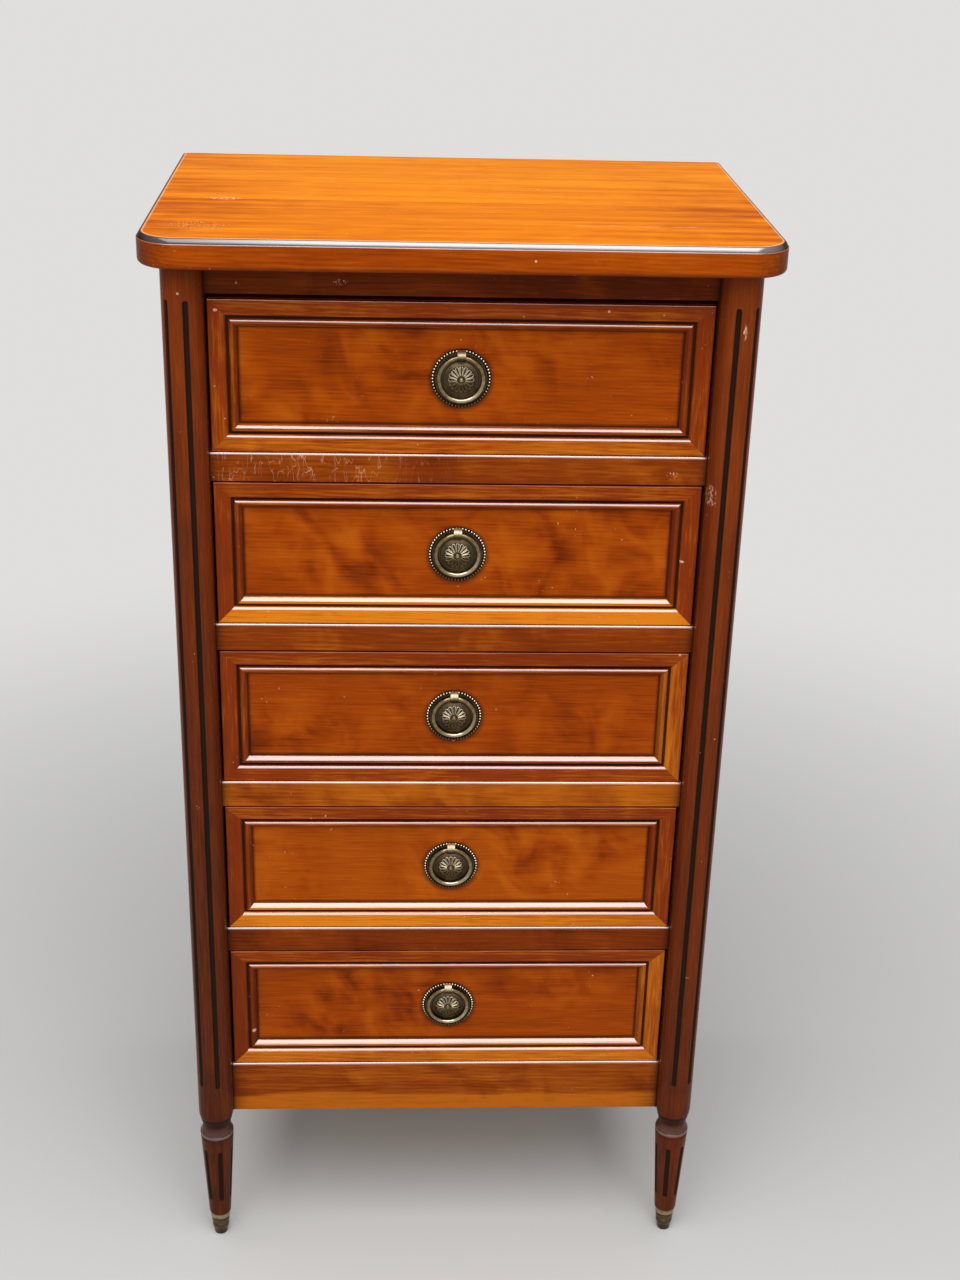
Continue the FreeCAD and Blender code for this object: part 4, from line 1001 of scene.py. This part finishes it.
def plate_surface(radius, angle):
    """Height of the pull plate over its back and how bright it is from rubbing and painted light, by radius
    and angle.

    A domed boss in a flat seat, with a rim of half-round beads. The boss carries a lip, a button, and petals
    with raised outlines: each outline keeps to a share of the petal's pitch and is closed by a half round at
    its end. The petals and beads are painted bright on the upper half as highlight and darker towards the
    bottom as shade, the button's crown is painted bright as a highlight, and the petals' hollows are dark.
    """
    rise = BOSS_HEIGHT - BOSS_EDGE
    bend = (rise ** 2 + BOSS_RADIUS ** 2) / (2 * rise)
    dome = BOSS_HEIGHT - BOSS_SINK - bend + np.sqrt(bend ** 2 - np.minimum(radius, BOSS_RADIUS) ** 2)
    inside = radius < BOSS_RADIUS + 0.01
    height = np.where(inside, dome, between(radius, PLATE_SEAT))
    lip = np.exp(-((radius - BOSS_RADIUS + 0.55) / 0.4) ** 2)
    half_pitch = np.pi / PETALS
    across = np.abs(within_pitch(angle, PETALS)) * radius * half_pitch
    side = np.abs(across - PETAL_SHARE * radius * half_pitch)
    end = np.abs(np.hypot(across, radius - PETAL_BEND) - PETAL_SHARE * PETAL_BEND * half_pitch)
    outline = np.where(radius < PETAL_BEND, side, end)
    within = np.clip((radius - PETAL_START) * 2, 0, 1) * np.clip((PETAL_END - radius) * 2, 0, 1)
    petal = np.exp(-(outline / PETAL_RIDGE) ** 2) * within
    button = np.sqrt(np.clip(1 - (radius / BUTTON_RADIUS) ** 2, 0, 1))
    bead_along = (radius - RIM_MIDDLE) / RIM_BEAD
    bead = np.sqrt(np.clip(1 - (within_pitch(angle, RIM_BEADS) / 0.7) ** 2 - bead_along ** 2, 0, 1))
    height = height + PETAL_HEIGHT * petal + LIP_HEIGHT * lip
    height = height + BUTTON_HEIGHT * button + RIM_BEAD_HEIGHT * bead
    # Painted highlight on the upper half and painted shade towards the bottom, on the petals and beads
    upper_lit_lower_shaded = 0.42 + 0.58 * np.clip(0.8 + np.sin(angle), 0, 1)
    rubbed = np.where(inside, 0.25, between(radius, ((22.6, 0.2), (23.6, 0.0))))
    rubbed = rubbed + 0.12 * lip - 0.13 * within * (1 - petal)
    # The button's crown is painted bright as a highlight
    rubbed = rubbed + 0.4 * button ** 3 + upper_lit_lower_shaded * (0.58 * petal + np.sqrt(bead))
    return height, np.clip(rubbed, 0, 1)


def pull_plate(number, middle, seat):
    """Beaded plate: a height over a polar grid with a scalloped edge, closed by its flat back.

    The grid's circles lie close together where the surface bends.
    """
    node = f"drawer_{number}_pull_plate"
    radius = np.concatenate([np.linspace(0.25, BUTTON_RADIUS, 9), np.linspace(2.9, 12.2, 34),
                             np.linspace(12.6, BOSS_RADIUS, 9), [BOSS_RADIUS + 0.05, 16.2, 22.6, 23.2],
                             np.linspace(23.6, PLATE_RADIUS, 13)])
    angle = np.linspace(0, 2 * np.pi, 600, endpoint=False)
    height, rubbed = plate_surface(radius[:, None], angle[None])
    back = np.zeros((1, len(angle)))
    height = np.concatenate([height, back])
    rubbed = np.concatenate([rubbed, back])
    radius = np.append(radius, PLATE_RADIUS)[:, None]
    dull = np.where((radius > BUTTON_RADIUS) & (radius < BOSS_RADIUS), 0.3, 0.0)
    notch = 1 - np.sqrt(np.clip(1 - within_pitch(angle, RIM_BEADS) ** 2, 0, 1))
    radius = radius - RIM_SCALLOP * notch[None] * np.clip((radius - RIM_MIDDLE) / RIM_BEAD, 0, 1)
    grid = np.stack([radius * np.cos(angle), seat - height, middle + radius * np.sin(angle)], -1)
    shell = tube(grid, relief=rubbed, dull=dull)
    make_piece(node, [shell], f"drawer_{number}", [brass], [node], crease=60)


def pull_lug(number, eye, ring_y, seat):
    """Strap over the ring: a soft rectangle carried along a path in the YZ plane.

    The path goes under the ring's wire from the dish as part of a circle, and from its front over to the
    plate's edge as a wider quarter circle; the section stands square to it. The whole strap is dull; its
    underside is painted dark as shade, and its top is rubbed bright, partly as a painted highlight.
    """
    depth = seat - ring_y
    sweep = np.radians(np.linspace(-118, -3, 20))
    under = np.stack([LUG_REACH * np.sin(sweep), depth + LUG_REACH * np.cos(sweep)], -1)
    lift = np.radians(np.linspace(0, 88, 18))
    hood = np.stack([HOOD_RADIUS * np.sin(lift), HOOD_FOOT + HOOD_RADIUS * np.cos(lift)], -1)
    path = np.concatenate([under, hood])
    run = np.gradient(path, axis=0)
    run /= np.linalg.norm(run, axis=1)[:, None]
    out = np.stack([-run[:, 1], run[:, 0]], -1)
    corner = np.array([LUG_HALF_WIDTH, LUG_THICK / 2])
    section = soft_rectangle(-corner, corner, (0.3, 0.3, 0.5, 0.5), steps=4, lead=0.15)
    rise, forward = (path[:, None, k] + section[None, :, 1] * out[:, None, k] for k in range(2))
    grid = np.stack([np.broadcast_to(section[None, :, 0], rise.shape), seat - forward, eye + rise], -1)
    # Painted shade on the underside and painted highlight on the top, by place along the path
    shell = tube(grid, relief=between(path[:, 0], LUG_SHADE_AND_HIGHLIGHT)[:, None], dull=1.0)
    make_piece(f"drawer_{number}_pull_lug", [shell], f"drawer_{number}", [brass],
               [f"drawer_{number}_pull_plate"])


def pull_ring(number, middle, ring_y):
    """Ring: a round wire carried round a circle that hangs in the plane of the drawer front.

    It is painted brightest low on the right, as a highlight.
    """
    node = f"drawer_{number}_pull_ring"
    round_ring = np.linspace(0, 2 * np.pi, 96, endpoint=False)[:, None]
    round_wire = np.linspace(0, 2 * np.pi, 24, endpoint=False)[None]
    out = RING_RADIUS + RING_WIRE * np.cos(round_wire)
    grid = np.stack([out * np.cos(round_ring), ring_y + RING_WIRE * np.sin(round_wire) + 0 * round_ring,
                     middle + out * np.sin(round_ring)], -1)
    # Painted highlight low on the right of the ring
    painted_glint = np.clip(np.cos(round_ring - np.radians(RING_GLINT_PLACE)), 0, 1) ** 2
    shell = tube(grid, ring=True, relief=0.53 + 0.17 * painted_glint, dull=-0.6)
    make_piece(node, [shell], f"ring_{number}", [brass], [node])


# Everything in place

for hand_name in HANDS:
    front_post(hand_name)
    rear_post(hand_name)
sabots()
front_rails()
top_board()
for drawer in DRAWERS:
    drawer_moulding(drawer)
    ring_low, ring_high = node_box(f"drawer_{drawer}_pull_ring")
    ring_middle = (ring_low[2] + ring_high[2]) / 2
    ring_depth = (ring_low[1] + ring_high[1]) / 2
    board_front = node_box(f"drawer_{drawer}_front_board")[0][1]
    pull_plate(drawer, ring_middle, board_front)
    pull_lug(drawer, ring_middle + RING_RADIUS, ring_depth, board_front)
    pull_ring(drawer, ring_middle, ring_depth)

# CAD nodes that stay get their finishes
node_finishes = {"side_panel_left": side_wood, "side_panel_right": side_wood, "back_panel": back_plywood,
                 "back_rails": drawer_back_wood, "drawer_runners": drawer_side_wood,
                 "drawer_stops": drawer_back_wood, "top_cleats": drawer_side_wood, "top_screws": steel}
for drawer in DRAWERS:
    node_finishes.update({
        f"drawer_{drawer}_front_board": panel_wood, f"drawer_{drawer}_sides": drawer_side_wood,
        f"drawer_{drawer}_back": drawer_back_wood, f"drawer_{drawer}_bottom": plywood,
        f"drawer_{drawer}_pull_bolt": steel})
for node_name, node_finish in node_finishes.items():
    mesh = frame["nodes"][node_name].data
    mesh.materials.clear()
    mesh.materials.append(node_finish)


# Studio: pale floor, soft light from above, and the photograph's camera, all in metres

FLOOR_HALF = 30.0
PALE_GREY = (0.74, 0.735, 0.72, 1.0)
SKY_WHITE = (0.95, 0.98, 1.0, 1.0)
SKY_STRENGTH = 0.24
CAMERA_PLACE = (-0.05934, -1.70226, 1.40364)
CAMERA_PITCH, CAMERA_YAW, CAMERA_ROLL = 24.597, -3.012, 1.578
CAMERA_SENSOR = 36.0
FOCAL_PIXELS = 1848.68
PHOTO_PIXELS = 1280


def rays_seen(start):
    """1 for rays from the camera and for those seen in or through a shiny surface, and 0 for the rest."""
    camera, glossy, through = (start.node("ShaderNodeLightPath", out=f"Is {ray} Ray")
                               for ray in ("Camera", "Glossy", "Transmission"))
    return camera.math("MAXIMUM", glossy).math("MAXIMUM", through)


def pale_floor():
    """Large plain floor that takes the object's shadow; far away it is seen as an even pale grey."""
    material, shader, at = new_material("pale_floor")
    mottle = 0.5 + at.noise(1.2) * 0.4
    connect(shader, Base_Color=mottle.ramp((0.2, (0.63, 0.625, 0.615)), (0.8, (0.67, 0.665, 0.655))))
    shader.inputs["Roughness"].default_value = 0.9
    shader.inputs["Specular IOR Level"].default_value = 0.1
    far = at.stretch(1.0, 1.0, 0.0).length().step(0.55, 1.8)
    grey = at.node("ShaderNodeEmission", {}, {"Color": PALE_GREY})
    lit = Wire(at.tree, shader.outputs[0])
    surface = at.node("ShaderNodeMixShader", {}, {0: rays_seen(at) * far, 1: lit, 2: grey})
    at.tree.links.new(surface.socket, at.tree.nodes["Material Output"].inputs["Surface"])
    mesh = bpy.data.meshes.new("floor")
    corners = [(-FLOOR_HALF, -FLOOR_HALF, 0), (FLOOR_HALF, -FLOOR_HALF, 0), (FLOOR_HALF, FLOOR_HALF, 0),
               (-FLOOR_HALF, FLOOR_HALF, 0)]
    mesh.from_pydata(corners, [], [(0, 1, 2, 3)])
    mesh.materials.append(material)
    floor = bpy.data.objects.new("floor", mesh)
    bpy.context.scene.collection.objects.link(floor)


def area_light(name, place, aim, width, depth, radiance):
    """Rectangular lamp of a given brightness that faces a point; power is pi times brightness times area."""
    lamp = bpy.data.lights.new(name, "AREA")
    lamp.shape = "RECTANGLE"
    lamp.size, lamp.size_y = width, depth
    lamp.energy = math.pi * radiance * width * depth
    lit = bpy.data.objects.new(name, lamp)
    bpy.context.scene.collection.objects.link(lit)
    back = np.array(place, float) - np.array(aim, float)
    back /= np.linalg.norm(back)
    across = np.cross((0.0, 1.0, 0.0), back)
    across /= np.linalg.norm(across)
    rise = np.cross(back, across)
    turn = Matrix(np.stack([across, rise, back], -1).tolist()).to_4x4()
    lit.matrix_world = Matrix.Translation(place) @ turn


def photo_camera():
    """Camera fitted to the photograph: right, up and back axes from its yaw, pitch and roll."""
    pitch, yaw, roll = np.radians((CAMERA_PITCH, CAMERA_YAW, CAMERA_ROLL))
    level = np.array([math.cos(yaw), math.sin(yaw), 0.0])
    ahead = np.array([-math.sin(yaw), math.cos(yaw), 0.0])
    upward = np.array([0.0, 0.0, 1.0])
    forward = ahead * math.cos(pitch) - upward * math.sin(pitch)
    raised = ahead * math.sin(pitch) + upward * math.cos(pitch)
    right = level * math.cos(roll) + raised * math.sin(roll)
    up = raised * math.cos(roll) - level * math.sin(roll)
    data = bpy.data.cameras.new("photo_camera")
    data.sensor_width = CAMERA_SENSOR
    data.lens = CAMERA_SENSOR * FOCAL_PIXELS / PHOTO_PIXELS
    camera = bpy.data.objects.new("photo_camera", data)
    bpy.context.scene.collection.objects.link(camera)
    turn = Matrix(np.stack([right, up, -forward], -1).tolist()).to_4x4()
    camera.matrix_world = Matrix.Translation(CAMERA_PLACE) @ turn
    bpy.context.scene.camera = camera


def sky():
    """Even soft light from all round, which the eye and shiny surfaces see as the floor's pale grey."""
    world = bpy.data.worlds.new("studio")
    world.use_nodes = True
    tree = world.node_tree
    tree.nodes.remove(tree.nodes["Background"])
    start = Wire(tree)
    soft = start.node("ShaderNodeBackground", {}, {"Color": SKY_WHITE, "Strength": SKY_STRENGTH})
    pale = start.node("ShaderNodeBackground", {}, {"Color": PALE_GREY, "Strength": 1.0})
    surface = start.node("ShaderNodeMixShader", {}, {0: rays_seen(start), 1: soft, 2: pale})
    tree.links.new(surface.socket, tree.nodes["World Output"].inputs["Surface"])
    bpy.context.scene.world = world


pale_floor()
sky()
area_light("sky_panel", place=(-0.1, -1.0, 3.0), aim=(0.0, -0.25, 0.7), width=2.8, depth=3.2, radiance=3.4)
area_light("front_panel", place=(0.0, -3.6, 2.3), aim=(0.0, -0.15, 0.7), width=4.0, depth=1.8, radiance=1.8)
photo_camera()
bpy.context.scene.view_settings.view_transform = "Standard"
